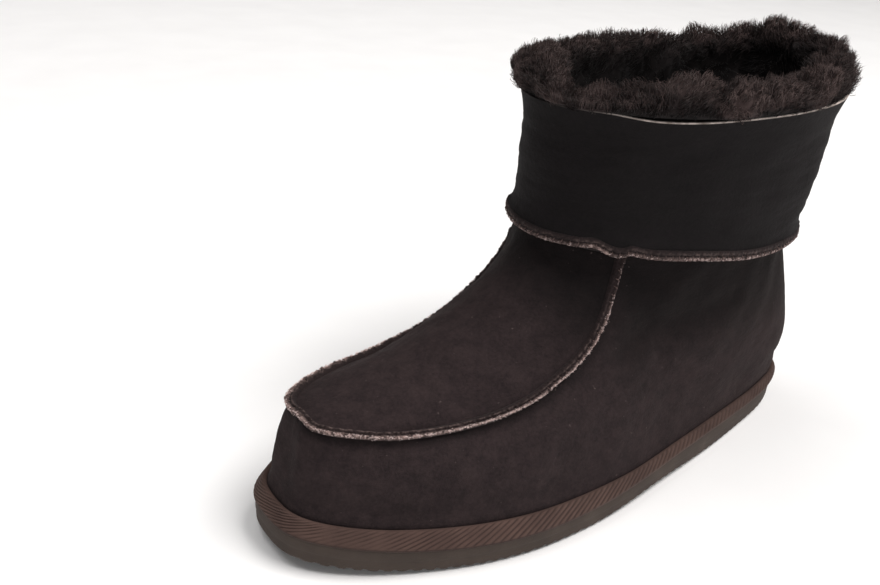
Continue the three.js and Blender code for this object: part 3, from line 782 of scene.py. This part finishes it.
def make_upper():
    """Wall of vamp and quarters, with a fine outer face and a plain inner one."""
    front, _ = even_turns(wall_middle, -SEAM_END, SEAM_END, 251)
    back, _ = even_turns(wall_middle, SEAM_END, 360 - SEAM_END, 181)
    turns = np.concatenate([front, back[1:-1]])[:, None]
    turns = np.where(turns > 180, turns - 360, turns)
    shares = np.concatenate([np.linspace(0, 0.9, 40), np.linspace(0.915, 1, 9)])
    inner_shares = np.linspace(1, 0, 10)
    inner = wall(turns, inner_shares) + wall_inwards(turns, inner_shares) * WALL
    outer = wall(turns, shares)
    normal = grid_normals(outer)
    free = step(shares, 0, 0.08) * step(1 - shares, 0, 0.06)
    lift = 0.45 * wobble(outer, 42, 11) + 0.22 * wobble(outer, 15, 12) + 0.07 * wobble(outer, 5, 13)
    lift = lift - creased(outer, WALL_CREASES, wall)
    lift = np.where(lift < 0, DEEPEST * np.tanh(lift / DEEPEST), lift)
    lift = lift + 2.0 * (bell(turns, 143, 22) * bell(shares, 0.36, 0.22))
    outer = push(outer, normal, lift * free)
    low = 1 - step(shares, 0, 0.16)
    sunk = read(RAND_RUN, 2, np.abs(turns)) * low
    outer = push(outer, outwards(outline, turns), DOWN_FACE[0] * sunk + 0.7 * low)
    outer[..., 2] += DOWN_FACE[1] * sunk
    foot = on_outline(turns, WALL_OUT_FOOT, OUTSOLE_HEIGHT + GAP)
    inner_foot = on_outline(turns, WALL_OUT_FOOT - WALL, OUTSOLE_HEIGHT + GAP)
    skin = np.concatenate([foot, outer, inner, inner_foot], 1)
    shade = np.zeros(skin.shape[:2])
    # Painted shade: the quarters and heel darken towards the shaft's flange above them, and a band along the
    # wall's top edge darkens under the apron's seam and the flange.
    ankle = 0.8 * step(shares, 0.3, 0.76) * step(np.abs(turns), 86, 104)
    shade[:, 1:1 + len(shares)] = np.maximum(ankle, 0.5 * step(shares, 0.86, 0.96))
    add_grid("upper_wall", skin, upper_suede, "upper", "upper", shade=shade)


def make_lining():
    """Wool lining on the inside of vamp and quarters."""
    turns = even_turns(wall_middle, -180.0, 180.0, 241)[0][:-1, None]
    shares = np.linspace(0.03, 0.985, 26)
    inwards = wall_inwards(turns, shares)
    back = wall(turns, shares) + inwards * (WALL + GAP)
    height = (LINING + 0.5 * wobble(back, 6, 14) + 0.35 * wobble(back, 2.8, 15)) * step(shares, 0, 0.1)
    face = push(back, inwards, np.maximum(height, 0.3))
    add_grid("upper_lining", np.concatenate([back, face[:, ::-1]], 1), wool_pile, "upper")


def apron_both(turn, share):
    """The apron across both sides: a share below zero is on the inner side."""
    turn, share = spread(turn, share)
    return apron_face(np.where(share < 0, -1.0, 1.0) * turn, np.abs(share))


def make_apron():
    """Apron over toes and instep."""
    turns = even_turns(top_edge, 0.0, SEAM_END - 0.3, 130)[0][:, None]
    back = 1.3 - 0.3 * step(turns, 60, 95)
    reach = 1 - back / length_of(apron_face, turns)
    shares = np.linspace(-1, 1, 91) * reach
    side = np.where(shares < 0, -1.0, 1.0)
    outer = apron_both(turns, shares)
    normal = apron_normal(side * turns, np.abs(shares))
    other = apron_normal(-side * turns, np.abs(shares))
    blend = step(np.abs(shares), 0, 0.25)[..., None]
    normal = unit(normal * (0.5 + 0.5 * blend) + other * (0.5 - 0.5 * blend))
    inner = outer - normal * WALL
    free = step(reach - np.abs(shares), 0, 0.12)
    lift = 0.5 * wobble(outer, 38, 21) + 0.2 * wobble(outer, 13, 22) + 0.06 * wobble(outer, 5, 23)
    lift = lift - creased(outer, APRON_CREASES, apron_both)
    outer = push(outer, normal, lift * free)
    skin = np.concatenate([outer, inner[:, ::-1]], 1)
    pinched = (skin[-1:] + skin[-1:, ::-1]) / 2
    skin = np.concatenate([skin, pinched])
    # Painted shade: the apron darkens up the instep, where the shaft and its flange overhang it.
    shade = 0.75 * step(np.append(turns, SEAM_END), 80, 98)[:, None]
    add_grid("apron_plug", skin, apron_suede, "apron", "apron", closed=False, shade=shade)


make_upper()
make_lining()
make_apron()

STITCH_PITCH = 3.4
STITCH_RADIUS = 0.2
STITCH_SIDES = 5
# How far a stitch's ends go into the leather
STITCH_ENDS = np.array([-0.5, 0, 0, 0, 0, 0, 0, -0.6])
# A direction that no stitch runs along
ASKEW = unit(np.array([0.13, 0.27, 0.95]))
CLUMPS = 760
CLUMP = 6
FIBRE_WIDTH = 0.13


def repeated(faces, count, size):
    """Faces of one form for count forms of size points each."""
    return (faces + (np.arange(count) * size)[:, None, None]).reshape(-1, 3)


def circles(along, across, sides):
    """Directions round a line at equal angles, from one across it."""
    angle = (np.arange(sides) * 2 * np.pi / sides)[:, None]
    return across[..., None, :] * np.cos(angle) + np.cross(along, across)[..., None, :] * np.sin(angle)


def tubes(paths):
    """Closed threads along paths of equal length, as points and faces."""
    count, steps = paths.shape[:2]
    along = unit(np.gradient(paths, axis=1))
    radius = np.full(steps, STITCH_RADIUS)
    radius[[0, -1]] *= 0.55
    circle = circles(along, unit(np.cross(along, ASKEW)), STITCH_SIDES)
    rings = paths[:, :, None] + circle * radius[:, None, None]
    points = np.concatenate([rings.reshape(count, -1, 3), paths[:, :1], paths[:, -1:]], 1)
    last = steps * STITCH_SIDES
    here = np.arange(STITCH_SIDES)
    then = (here + 1) % STITCH_SIDES
    start = np.stack([np.full(STITCH_SIDES, last), here, then], -1)
    final = last - STITCH_SIDES
    end = np.stack([np.full(STITCH_SIDES, last + 1), final + then, final + here], -1)
    faces = np.concatenate([grid_faces(steps, STITCH_SIDES), start, end])
    return points, repeated(faces, count, last + 2)


def spikes(spines, thickness, tips, across):
    """Closed three-sided spikes along spines to their tips, as points and faces."""
    count, rings = spines.shape[:2]
    circle = circles(unit(tips - spines[:, 0]), across, 3)
    sides = spines[:, :, None] + circle[:, None] * thickness[..., None, None]
    last = 3 * rings
    points = np.concatenate([sides.reshape(count, last, 3), tips[:, None]], 1)
    tip = [(last - 3, last - 2, last), (last - 2, last - 1, last), (last - 1, last - 3, last)]
    faces = np.concatenate([[(0, 2, 1)], grid_faces(rings, 3), tip])
    return points, repeated(faces, count, last + 1)


def stitch_places(middles, slant, unevenness, seed):
    """Where along a seam each stitch runs, slanted across it and a little uneven."""
    return middles[:, None] + slant + np.random.default_rng(seed).normal(0, unevenness, (len(middles), 1))


def stitch_pull(distance, slant, pitch):
    """How far the stitches pull a seam in along its length."""
    return np.abs(np.cos(np.pi * (distance[:, None] - slant) / pitch)) ** 6


def broken_edge(points, whole, seed):
    """How much of a cut edge shows in its broken specks."""
    return np.clip(whole + 0.45 * wobble(points, 3, seed) + 0.4 * wobble(points, 1.3, seed + 1), 0, 1.1)


def fibre_places(chance, length, middle, scatter, own):
    """Where clumps of fibres stand along and across a seam."""
    fibres = CLUMPS * CLUMP
    along = np.repeat(chance.uniform(0, length, CLUMPS), CLUMP) + chance.normal(0, 0.2, fibres)
    across = np.repeat(chance.normal(middle, scatter, CLUMPS), CLUMP) + chance.normal(0, own, fibres)
    return along, across


def add_fibres(name, slot, roots, ways, shown, chance):
    """Loose fibres of a cut edge, from their roots about their ways, shorter where less of it is shown."""
    count = len(roots)
    ways = unit(ways + chance.normal(0, 0.5, (count, 3)))
    tips = push(roots, ways, chance.uniform(0.4, 1.0, count) * shown)
    across = unit(np.cross(tips - roots, chance.normal(size=(count, 3))))
    points, faces = spikes(roots[:, None], np.full((count, 1), FIBRE_WIDTH), tips, across)
    add_piece(name, points, faces, edge_fibre, slot)


# Share across the apron's seam from wall to apron, lift, and how much of a cut edge shows
RIDGE_PROFILE = np.array([
    (0, -0.5, 0), (0.05, 1.0, 0.05), (0.13, 2.2, 0.6), (0.24, 2.9, 1), (0.35, 2.5, 0.6), (0.44, 1.8, 0.05),
    (0.56, 2.0, 0.1), (0.66, 2.2, 0.3), (0.78, 1.7, 0.05), (0.9, 0.9, 0), (1, -0.5, 0),
])
# Turn, and how pale the apron's cut edge is there
SEAM_PALE = np.array([
    (0, 0.7), (14, 0.74), (20, 0.88), (30, 0.96), (60, 1), (80, 1.15), (92, 1.15), (96, 0.8), (98.5, 0.2),
    (104, 0.1),
])
RIDGE_OUTSIDE = 1.0
RIDGE_INSIDE = 2.2
RIDGE_END = 103.5
RIDGE_STEPS = 1000
RIDGE_DEPTH = -0.7
RIDGE_SLANT = 0.9
RIDGE_TUCK = np.array([-1.0, 0, 2.4])
# Shares across the seam at the wall, the seam, the apron's edge and the apron
RIDGE_KNOTS = np.array([0, 0.28, 0.62, 1.0])


def ridge_rise(turn):
    """How high the apron's seam stands, less so up the instep."""
    return 1 - 0.35 * step(np.abs(turn), 80, 98)


def on_ridge(turn, share, lift):
    """A point over the apron's seam: share across from wall to apron, and lift from the faces."""
    turn, share, lift = spread(turn, share, lift)
    on_wall = 1 - RIDGE_OUTSIDE / length_of(wall, turn)
    on_apron = 1 - RIDGE_INSIDE / length_of(apron_face, turn)
    half = (1 + on_apron) / 2
    wall_normal = -wall_inwards(turn, on_wall)
    in_normal = apron_normal(turn, on_apron)
    up_normal = unit(wall_normal + in_normal)
    on_faces = [wall(turn, on_wall), top_edge(turn), apron_face(turn, half), apron_face(turn, on_apron)]
    places = np.stack(on_faces)
    ways = np.stack([wall_normal, up_normal, in_normal, in_normal])
    i = np.clip(np.searchsorted(RIDGE_KNOTS, share, side="right") - 1, 0, 2)
    t = ((share - RIDGE_KNOTS[i]) / (RIDGE_KNOTS[i + 1] - RIDGE_KNOTS[i]))[..., None]
    rows = np.indices(share.shape)
    here = (i, *rows)
    then = (i + 1, *rows)
    place = places[here] * (1 - t) + places[then] * t
    return push(place, unit(ways[here] * (1 - t) + ways[then] * t), lift)


def make_apron_seam():
    """Raised seam between wall and apron: two lips with cut edges, whip stitches over them, and fibres."""
    turns, length = even_turns(top_edge, -RIDGE_END, RIDGE_END, RIDGE_STEPS)
    distance = np.linspace(0, length, RIDGE_STEPS)
    row = turns[:, None]
    shares = np.linspace(0, 1, 19)
    lift = read(RIDGE_PROFILE, 1, shares) * ridge_rise(row)
    pull = stitch_pull(distance, RIDGE_SLANT * (shares - 0.5), STITCH_PITCH)
    top = on_ridge(row, shares, lift)
    rough = 0.26 * wobble(top, 4, 31) + 0.2 * wobble(top, 1.7, 32)
    broken = broken_edge(top, 0.95 - 0.3 * step(-row, 30, 75), 33)
    lift = lift * (1 - 0.16 * pull) + rough * step(lift, 0.4, 2)
    top = on_ridge(row, shares, lift)
    low = on_ridge(row, np.linspace(1, 0, 7)[1:-1], RIDGE_DEPTH)
    skin = np.concatenate([top, low], 1)
    narrow = 1 + 0.6 * step(np.abs(row), 40, 70)
    cut = np.maximum(read(RIDGE_PROFILE, 2, shares), 0) ** narrow
    raw = 0.62 * cut * (1 - 0.25 * pull) * broken * read(SEAM_PALE, 1, np.abs(row))
    raw = np.pad(raw, ((2, 2), (0, low.shape[1])))
    tucked = skin[[0, -1]] + RIDGE_TUCK
    caps = tucked.mean(1, keepdims=True).repeat(skin.shape[1], 1)
    skin = np.concatenate([caps[:1], tucked[:1], skin, tucked[1:], caps[1:]])
    add_grid("apron_seam_ridge", skin, seam_edge, "apron_seam", "apron_seam", closed=False, raw=raw)

    middles = np.arange(1, int(length / STITCH_PITCH)) * STITCH_PITCH
    across = np.linspace(0.05, 0.5, len(STITCH_ENDS))
    places = stitch_places(middles, RIDGE_SLANT * (across - 0.5), 0.18, 41)
    at = np.interp(places, distance, turns)
    height = read(RIDGE_PROFILE, 1, across) * 0.86 + 0.15 + STITCH_ENDS
    paths = on_ridge(at, across, height * ridge_rise(at))
    add_piece("apron_stitches", *tubes(paths), seam_thread, "apron_seam")

    chance = np.random.default_rng(43)
    places, share = fibre_places(chance, length, 0.23, 0.055, 0.02)
    at = np.interp(places, distance, turns)
    share = np.clip(share, 0.06, 0.42)
    height = read(RIDGE_PROFILE, 1, share) * ridge_rise(at) - 0.2
    roots = on_ridge(at, share, height)
    ways = on_ridge(at, share, height + 1) - roots
    shown = np.clip(read(SEAM_PALE, 1, np.abs(at)), 0.1, 1)
    add_fibres("apron_fibres", "apron_seam", roots, ways, shown, chance)


make_apron_seam()

# Turn, height by which the shaft's cut top edge rises and falls, and how pale it is
CUT_EDGE = np.array([
    (-180, 0.6, 0.8), (-120, -0.4, 0.8), (-60, 0.5, 0.7), (-10, 0.0, 0.05), (15, 0.6, 0.1),
    (30, 0.9, 0.45), (45, -0.5, 1), (60, -0.4, 1), (75, 0.5, 1), (90, 1.0, 1), (120, 1.4, 1), (140, 2.2, 1),
    (156, 1.5, 0.9), (180, 0.6, 0.8),
])
# How far in from the outer face the cut edge has its rows of points
RIM_INSETS = np.array([0.2, 0.8, 1.5, 2.4])
# Height above the ankle ring, and how far the shaft flares out to its sewn flange
FLARE = np.array([(0, 2.2), (2, 2.8), (3.8, 3.2), (4.8, 2.5), (6, 1.5), (7.5, 0.7), (10, 0)])
# Turn, height by which the sewn flange rises and falls, and how pale its cut edge is
FLANGE_RUN = np.array([
    (0, 0, 0.5), (8, 0, 0.4), (12, 0.2, 0.85), (16, 0.4, 0.35), (22, 0.8, 0.3), (26, 1.1, 0.7), (30, 1.9, 1),
    (33, 1.4, 1), (36, 0.2, 0.8), (39, -0.6, 0.3), (42, -0.4, 0.25), (44.5, 0.9, 0.45), (47, 0.6, 0.5),
    (50, 0.1, 0.5), (60, 0, 0.5), (70, 0, 0.8), (80, -0.5, 0.6), (88, -1.1, 0.7), (104, -1.2, 0.45),
    (120, -0.5, 0.4), (140, 0, 0.4), (180, 0, 0.5),
])
# Row number, out from the shaft, up from the ankle ring, and how much of a cut edge shows
FLANGE_PROFILE = keyed([
    (-0.5, -0.7, 0), (1.7, -0.15, 0), (3.7, 0.05, 0.3), (4.8, 0.55, 1), (5.2, 1.25, 1), (4.8, 1.95, 0.45),
    (4.3, 2.4, 0.05), (4.45, 2.9, 0.1), (4.4, 3.4, 0.25), (3.9, 4.1, 0.05), (3.2, 4.6, 0), (2.0, 4.2, 0),
    (0.2, 1.8, 0),
])
FLANGE_STEPS = 660
FLANGE_SLANT = 0.4
FLANGE_MIDDLE = 2.5


def flange_wave(turn):
    """Height by which the sewn flange rises and falls."""
    return read(FLANGE_RUN, 1, np.abs(turn))


def make_shaft():
    """The shaft's smooth side with shallow dents, level wrinkles, a flared foot and a wavy top edge."""
    turns = ring_turns(360)[0][:, None]
    shares = np.concatenate([np.linspace(0.005, 0.95, 44), np.linspace(0.957, 0.985, 4), [0.9875, 0.9955]])
    outer = shaft_face(turns, shares)
    normal = grid_normals(outer)
    free = step(shares, 0.02, 0.12) * step(1 - shares, 0, 0.25)
    lift = 0.5 * wobble(outer, 40, 51) + 0.2 * wobble(outer * np.array([0.5, 0.5, 1.6]), 12, 52)
    lift = lift + 0.09 * wobble(outer * np.array([0.4, 0.4, 2.0]), 6, 53)
    lift = lift - creased(outer, SHAFT_CREASES, shaft_face)
    lift = lift + 3.2 * bell(turns, 138, 36) * np.sin(np.pi * shares)
    outer = push(outer, normal, lift * free)
    wave = read(CUT_EDGE, 1, turns)
    outer[..., 2] += wave * step(shares, 0.7, 1)
    out = shaft_out(turns)
    flare = read(FLARE, 1, outer[..., 2] - ring(ANKLE, turns)[..., 2])
    edge_out = 1.3 * bell(turns, 136, 24)[..., None] * out
    outer = push(push(outer, out, flare), edge_out, step(shares, 0.75, 1))
    outer[..., 2] += flange_wave(turns) * step(flare, 0.3, 3)
    crown = shaft_face(turns, 1.0) + np.array([0, 0, 1.0]) * wave[..., None] + edge_out
    rim = crown - out * RIM_INSETS[:, None]
    inner = shaft_face(turns, np.linspace(0.99, 0.005, 12)) - out * WALL
    skin = np.concatenate([outer, rim, inner], 1)
    raw = np.zeros(skin.shape[:2])
    raw[:, len(shares) - 1:len(shares) + 2] = read(CUT_EDGE, 2, turns)
    add_grid("shaft_leather", skin, cuff_leather, "shaft", "shaft", raw=raw)


def on_flange(turn, out, up):
    """A point of the flange, out from the shaft and up from the ankle ring."""
    turn, out, up = spread(turn, out, up)
    foot = ring(ANKLE, turn)
    share = np.maximum(up, 0.1) / (top_ring(turn)[..., 2] - foot[..., 2])
    point = push(shaft_face(turn, share), shaft_out(turn), out)
    point[..., 2] = foot[..., 2] + up + flange_wave(turn) * step(out, 0.3, 3)
    return point


def make_flange():
    """Raised flange at the shaft's foot with its cut edges, whip stitches and fibres."""
    turns, length = ring_turns(FLANGE_STEPS)
    distance = np.arange(FLANGE_STEPS) * length / FLANGE_STEPS
    count = round(length / STITCH_PITCH)
    pitch = length / count
    row = turns[:, None]
    key = np.linspace(0, FLANGE_PROFILE[-1, 0], 29)
    out, up, cut = (read(FLANGE_PROFILE, column, key) for column in (1, 2, 3))
    pull = stitch_pull(distance, FLANGE_SLANT * (up - FLANGE_MIDDLE), pitch)
    first = on_flange(row, out, up)
    rough = 0.2 * wobble(first, 4, 61) + 0.15 * wobble(first, 1.7, 62)
    broken = broken_edge(first, 0.85, 63)
    raw = 0.7 * cut * (1 - 0.5 * pull) * broken * read(FLANGE_RUN, 2, np.abs(row))
    skin = on_flange(row, out * (1 - 0.07 * pull) + rough * step(out, 1, 4), up)
    add_grid("shaft_flange", skin, flange_edge, "shaft_seam", "shaft_seam", raw=raw)

    looped = np.append(turns, 180.0)
    distance = np.append(distance, length)
    key = np.linspace(1.5, 6.4, len(STITCH_ENDS))
    out = read(FLANGE_PROFILE, 1, key) + 0.12 + STITCH_ENDS
    up = read(FLANGE_PROFILE, 2, key)
    places = stitch_places(np.arange(count) * pitch, FLANGE_SLANT * (up - FLANGE_MIDDLE), 0.16, 42)
    at = np.interp(places % length, distance, looped)
    add_piece("flange_stitches", *tubes(on_flange(at, out, up)), seam_thread, "shaft_seam")

    chance = np.random.default_rng(44)
    places, key = fibre_places(chance, length, 3.6, 0.55, 0.2)
    at = np.interp(places % length, distance, looped)
    key = np.clip(key, 2.2, 5.2)
    roots = on_flange(at, read(FLANGE_PROFILE, 1, key) - 0.2, read(FLANGE_PROFILE, 2, key))
    shown = np.clip(read(FLANGE_RUN, 2, np.abs(at)), 0.2, 1)
    add_fibres("flange_fibres", "shaft_seam", roots, shaft_out(at), shown, chance)


make_shaft()
make_flange()

# Places over the fur: its roll ends at the first, and the inside of the boot takes up the rest
ROLL_END = 0.68
INSIDE_SHARE = 0.32
# Place over the roll from its outer foot, and out and up from the shaft's top edge
FUR_ROLL = keyed([
    (-3.1, 0.4), (-0.4, 0.8), (3.2, 4.5), (3.4, 9.5), (-0.5, 13.5), (-6.5, 14.5), (-12.5, 11), (-15.8, 4),
], ROLL_END)
# Turn, and the share of the roll's height there
FUR_RISE = np.array([
    (-180, 1.1), (-172, 1.12), (-163, 1.3), (-154, 1.36), (-142, 1.0), (-128, 0.76), (-90, 0.7),
    (-50, 0.68), (-30, 0.74), (-4, 0.64), (18, 0.22), (42, 0.7), (90, 0.72), (130, 0.92), (150, 0.98),
    (163, 1.16), (172, 1.2), (180, 1.1),
])
FUR_THICKNESS = 13.0
WOOL_SINK = 1.6
# Place over the roll, how far hairs stand out from it, how far they are brushed up, and their length
HAIR_WAYS = np.array([
    (0.06, 0.4, 0.6, 4), (0.2, 0.35, 0.8, 6), (0.33, 0.5, 0.7, 6.5), (0.48, 0.8, 0.3, 5.6),
    (0.62, 0.6, 0.4, 6), (0.9, 0.5, 0.3, 6),
])
HAIRS = 6400
HAIR_ROOT = 0.8
LOCKS_A_DEGREE = 3
QUARTER = 90


def fur_rise(turn):
    """Share of the fur's height at a turn."""
    return read(FUR_RISE, 1, (turn + 180) % 360 - 180)


def roll_curve(turn, place):
    """A point of the fur's body: place from 0 under the outer edge, over the crest, to 1 deep inside."""
    turn, place = spread(turn, place)
    out = read(FUR_ROLL, 1, place)
    up = read(FUR_ROLL, 2, place)
    lifted = np.where(up > 0.5, 0.5 + (up - 0.5) * fur_rise(turn), up)
    tucked = 3.6 * bell(turn, 136, 40) * step(out, -3, 2)
    over = push(top_ring(turn), shaft_out(turn), out - tucked)
    over[..., 2] += lifted
    depth = np.clip((place - ROLL_END) / INSIDE_SHARE, 0, 1)
    inside = shaft_face(turn, 0.82 - 0.47 * depth) - shaft_out(turn) * (WALL + FUR_THICKNESS)
    join = step(place, 0.64, 0.74)[..., None]
    return over * (1 - join) + inside * join


def roll_normal(turn, place):
    """Outward normal of the fur's body."""
    round_it = roll_curve(turn + 1.0, place) - roll_curve(turn - 1.0, place)
    over = roll_curve(turn, np.minimum(place + 0.01, 1)) - roll_curve(turn, np.maximum(place - 0.01, 0))
    return unit(np.cross(round_it, over))


def lit(place):
    """Painted shade of the wool: how far it is out of the dark foot of the roll and the dark inside of the
    boot, where shade falls.
    """
    return (0.2 + 0.8 * step(place, 0.06, 0.2)) * (1 - step(place, 0.54, 0.7))


def clump_painted_light(height):
    """Painted light and shade of the wool: brighter on its clumps and darker in the gaps between them."""
    return np.clip(0.42 + 0.24 * height, 0.04, 1)


def wool_surface(turn, place):
    """The wool's surface with rounded clumps and tight gaps, its normal and the clumps' height."""
    normal = roll_normal(turn, place)
    point = roll_curve(turn, place)
    height = 3.0 * np.abs(wobble(point, 26, 71)) + 1.3 * np.abs(wobble(point, 12, 72)) - 2.0
    return push(point, normal, (height - WOOL_SINK) * step(place, 0.06, 0.34)), normal, height


def make_fur_body():
    """The matted wool of the roll, from the shaft's top edge down its inside."""
    turns = ring_turns(400)[0][:, None]
    places = np.linspace(0, 1, 56)
    body, _, height = wool_surface(turns, places)
    back = shaft_face(turns, np.linspace(0.35, 0.95, 5)) - shaft_out(turns) * (WALL + 0.4)
    skin = np.concatenate([body, back], 1)
    # Painted light and shade: the body's values along and tone are low at the roll's foot, inside the boot
    # and in the gaps between clumps, and high on the clump tops.
    bright = np.zeros(skin.shape[:2])
    bright[:, :len(places)] = lit(places) * clump_painted_light(height)
    add_grid("fur_body", skin, collar_fur, "fur_collar", "fur_collar", along=0.6 * bright, tone=bright)


def make_locks(start, chance):
    """Roots, ways and lengths of the locks of a quarter of the collar."""
    count = QUARTER * LOCKS_A_DEGREE
    turns = chance.uniform(start - 3, start + QUARTER + 3, count)
    places = chance.uniform(0.06, 0.88, count)
    roots, normal, _ = wool_surface(turns, places)
    swirl = np.stack([wobble(roots, 22, seed) for seed in (73, 74, 75)], -1)
    swirl = swirl * step(places, 0.06, 0.3)[:, None]
    ways = normal * read(HAIR_WAYS, 1, places)[:, None] + 0.45 * swirl
    ways[:, 2] += read(HAIR_WAYS, 2, places)
    ways = unit(unit(ways) + chance.normal(0, 0.15, (count, 3)))
    grown = np.clip(0.35 + 0.8 * fur_rise(turns), 0.3, 1.12)
    return roots, ways, chance.uniform(0.8, 1.2, count) * read(HAIR_WAYS, 3, places) * grown


def make_hairs(name, start, count, rings, seed):
    """Hairs of a quarter of the collar, each a tapered closed spike that lies in its lock."""
    chance = np.random.default_rng(seed)
    turns = chance.uniform(start, start + QUARTER, count)
    places = chance.uniform(0.08, 0.86, count)
    roots, normal, height = wool_surface(turns, places)
    roots = roots - normal * HAIR_ROOT
    lock_roots, lock_ways, lock_lengths = make_locks(start, chance)
    nearest = np.linalg.norm(roots[:, None] - lock_roots, axis=-1).argmin(1)
    lock_tips = push(lock_roots, lock_ways, lock_lengths)
    gather = chance.uniform(0.2, 0.7, count)[:, None]
    length = lock_lengths[nearest] * chance.uniform(0.7, 1.1, count)
    own = push(roots, unit(lock_ways[nearest] + chance.normal(0, 0.16, (count, 3))), length)
    tips = own * (1 - gather) + lock_tips[nearest] * gather + chance.normal(0, 0.3, (count, 3))
    bow = chance.normal(0, 0.7, (count, 3)) + normal * 1.1
    shares = np.arange(rings) / rings
    at = shares[:, None]
    spine = roots[:, None] * (1 - at) + tips[:, None] * at + bow[:, None] * (4 * at * (1 - at))
    across = unit(np.cross(unit(tips - roots), chance.normal(size=(count, 3))))
    thickness = chance.uniform(0.09, 0.15, count)[:, None] * (1 - 0.5 * shares ** 2)
    # Painted light and shade: along and tone fall at the roll's foot, inside the boot and in the gaps
    # between clumps, and rise on the clump tops; tone also varies at random from lock to lock.
    painted_clump_light = clump_painted_light(height)
    along = 0.45 + 0.45 * np.append(np.repeat(shares, 3), 1.0)
    along = along * (lit(places) * (0.72 + 0.4 * painted_clump_light))[:, None]
    tone = chance.uniform(0.75, 1.25, len(lock_roots))[nearest] + chance.normal(0, 0.06, count)
    tone = np.clip(tone * (0.15 + painted_clump_light), 0.05, 1) * lit(places)
    points, faces = spikes(spine, thickness, tips, across)
    add_piece(name, points, faces, collar_fur, "fur_collar", along=along, tone=tone[:, None])


make_fur_body()
for number, start in enumerate(range(-180, 180, QUARTER)):
    make_hairs(f"fur_long_{number + 1}", start, HAIRS, 3, 80 + number)
    make_hairs(f"fur_short_{number + 1}", start, HAIRS // 2, 2, 90 + number)

# Floor, light and camera, in metres
FLOOR_REACH = 3.0
FLOOR_LEVEL = -0.0003
BACKDROP_START = 2.0
BACKDROP_END = 5.0
BACKDROP_SIDES = 96
BACKDROP_RINGS = 25
# Name, place, point aimed at, size, power and colour of each lamp
LAMPS = (
    ("key", (-0.8, 1.0, 2.8), (0.0, 0.0, 0.06), 1.8, 83, (1.0, 0.97, 0.95)),
    ("top", (0.8, -0.7, 3.0), (0.0, 0.0, 0.08), 2.2, 34, (1.0, 0.98, 0.97)),
    ("fill", (0.5, 1.1, 0.35), (0.0, 0.0, 0.05), 0.9, 2.5, (0.97, 0.98, 1.0)),
)
WORLD_STRENGTH = 0.22
CAMERA_PLACE = Vector((0.274, 0.2585, 0.255))
# Azimuth, elevation and roll in degrees
CAMERA_ANGLES = (142, 26, 5)
# Width of the sensor in millimetres, focal length and width of the picture in pixels
SENSOR_WIDTH = 36.0
FOCAL_LENGTH = 950
PICTURE_WIDTH = 880


def add_stage(name, points, faces, paper):
    """A part of the stage from points in metres."""
    mesh = bpy.data.meshes.new(name)
    mesh.from_pydata(points, [], faces)
    mesh.shade_smooth()
    mesh.materials.append(paper)
    stage = add_object(name, mesh)
    return stage


def make_stage():
    """Paper floor with a backdrop that rises round it."""
    looks = Looks("floor_paper", 0.9, 0.2)
    paper = looks.done(looks.ramp(looks.noise(60, 3, 0.5), (0.3, grey(0.92)), (0.7, grey(0.95))))
    square = ((-1, -1), (1, -1), (1, 1), (-1, 1))
    corners = [(x * FLOOR_REACH, y * FLOOR_REACH, FLOOR_LEVEL) for x, y in square]
    add_stage("floor", corners, [(0, 1, 2, 3)], paper)
    angle = (np.arange(BACKDROP_SIDES) * 2 * np.pi / BACKDROP_SIDES)[:, None]
    radius = np.linspace(BACKDROP_START, BACKDROP_END, BACKDROP_RINGS)
    height = 0.5 * (radius - BACKDROP_START) ** 2
    bowl = np.stack(spread(radius * np.cos(angle), radius * np.sin(angle), height), -1).reshape(-1, 3)
    faces = grid_faces(BACKDROP_SIDES, BACKDROP_RINGS, True, False)
    backdrop = add_stage("backdrop", bowl.tolist(), faces.tolist(), paper)
    # The backdrop is only looked at: it casts no shadow and throws no light back
    backdrop.visible_diffuse = False
    backdrop.visible_glossy = False
    backdrop.visible_shadow = False


def make_lights():
    """Soft round lamps aimed at the slipper, and an even white surround."""
    for name, place, target, size, power, colour in LAMPS:
        lamp = bpy.data.lights.new(name, "AREA")
        lamp.shape = "DISK"
        lamp.size = size
        lamp.energy = power
        lamp.color = colour
        holder = add_object(name, lamp)
        holder.location = place
        holder.rotation_euler = (Vector(target) - Vector(place)).to_track_quat("-Z", "Y").to_euler()
    world = bpy.data.worlds.new("studio")
    world.use_nodes = True
    background = world.node_tree.nodes["Background"]
    background.inputs["Color"].default_value = (1.0, 1.0, 1.0, 1.0)
    background.inputs["Strength"].default_value = WORLD_STRENGTH
    bpy.context.scene.world = world


def make_camera():
    """The photograph's view: place, azimuth, elevation and roll."""
    azimuth, elevation, roll = (math.radians(angle) for angle in CAMERA_ANGLES)
    level = math.cos(elevation)
    back = Vector((math.sin(azimuth) * level, -math.cos(azimuth) * level, math.sin(elevation)))
    right = Vector((0, 0, 1)).cross(back).normalized()
    up = back.cross(right)
    turned = math.cos(roll) * right + math.sin(roll) * up
    upright = math.cos(roll) * up - math.sin(roll) * right
    lens = bpy.data.cameras.new("camera")
    lens.sensor_width = SENSOR_WIDTH
    lens.lens = SENSOR_WIDTH * FOCAL_LENGTH / PICTURE_WIDTH
    lens.clip_start = 0.01
    camera = add_object("camera", lens)
    facing = Matrix((turned, upright, back)).transposed().to_4x4()
    camera.matrix_world = Matrix.Translation(CAMERA_PLACE) @ facing
    bpy.context.scene.camera = camera


make_stage()
make_lights()
bpy.context.scene.view_settings.view_transform = "Standard"
make_camera()
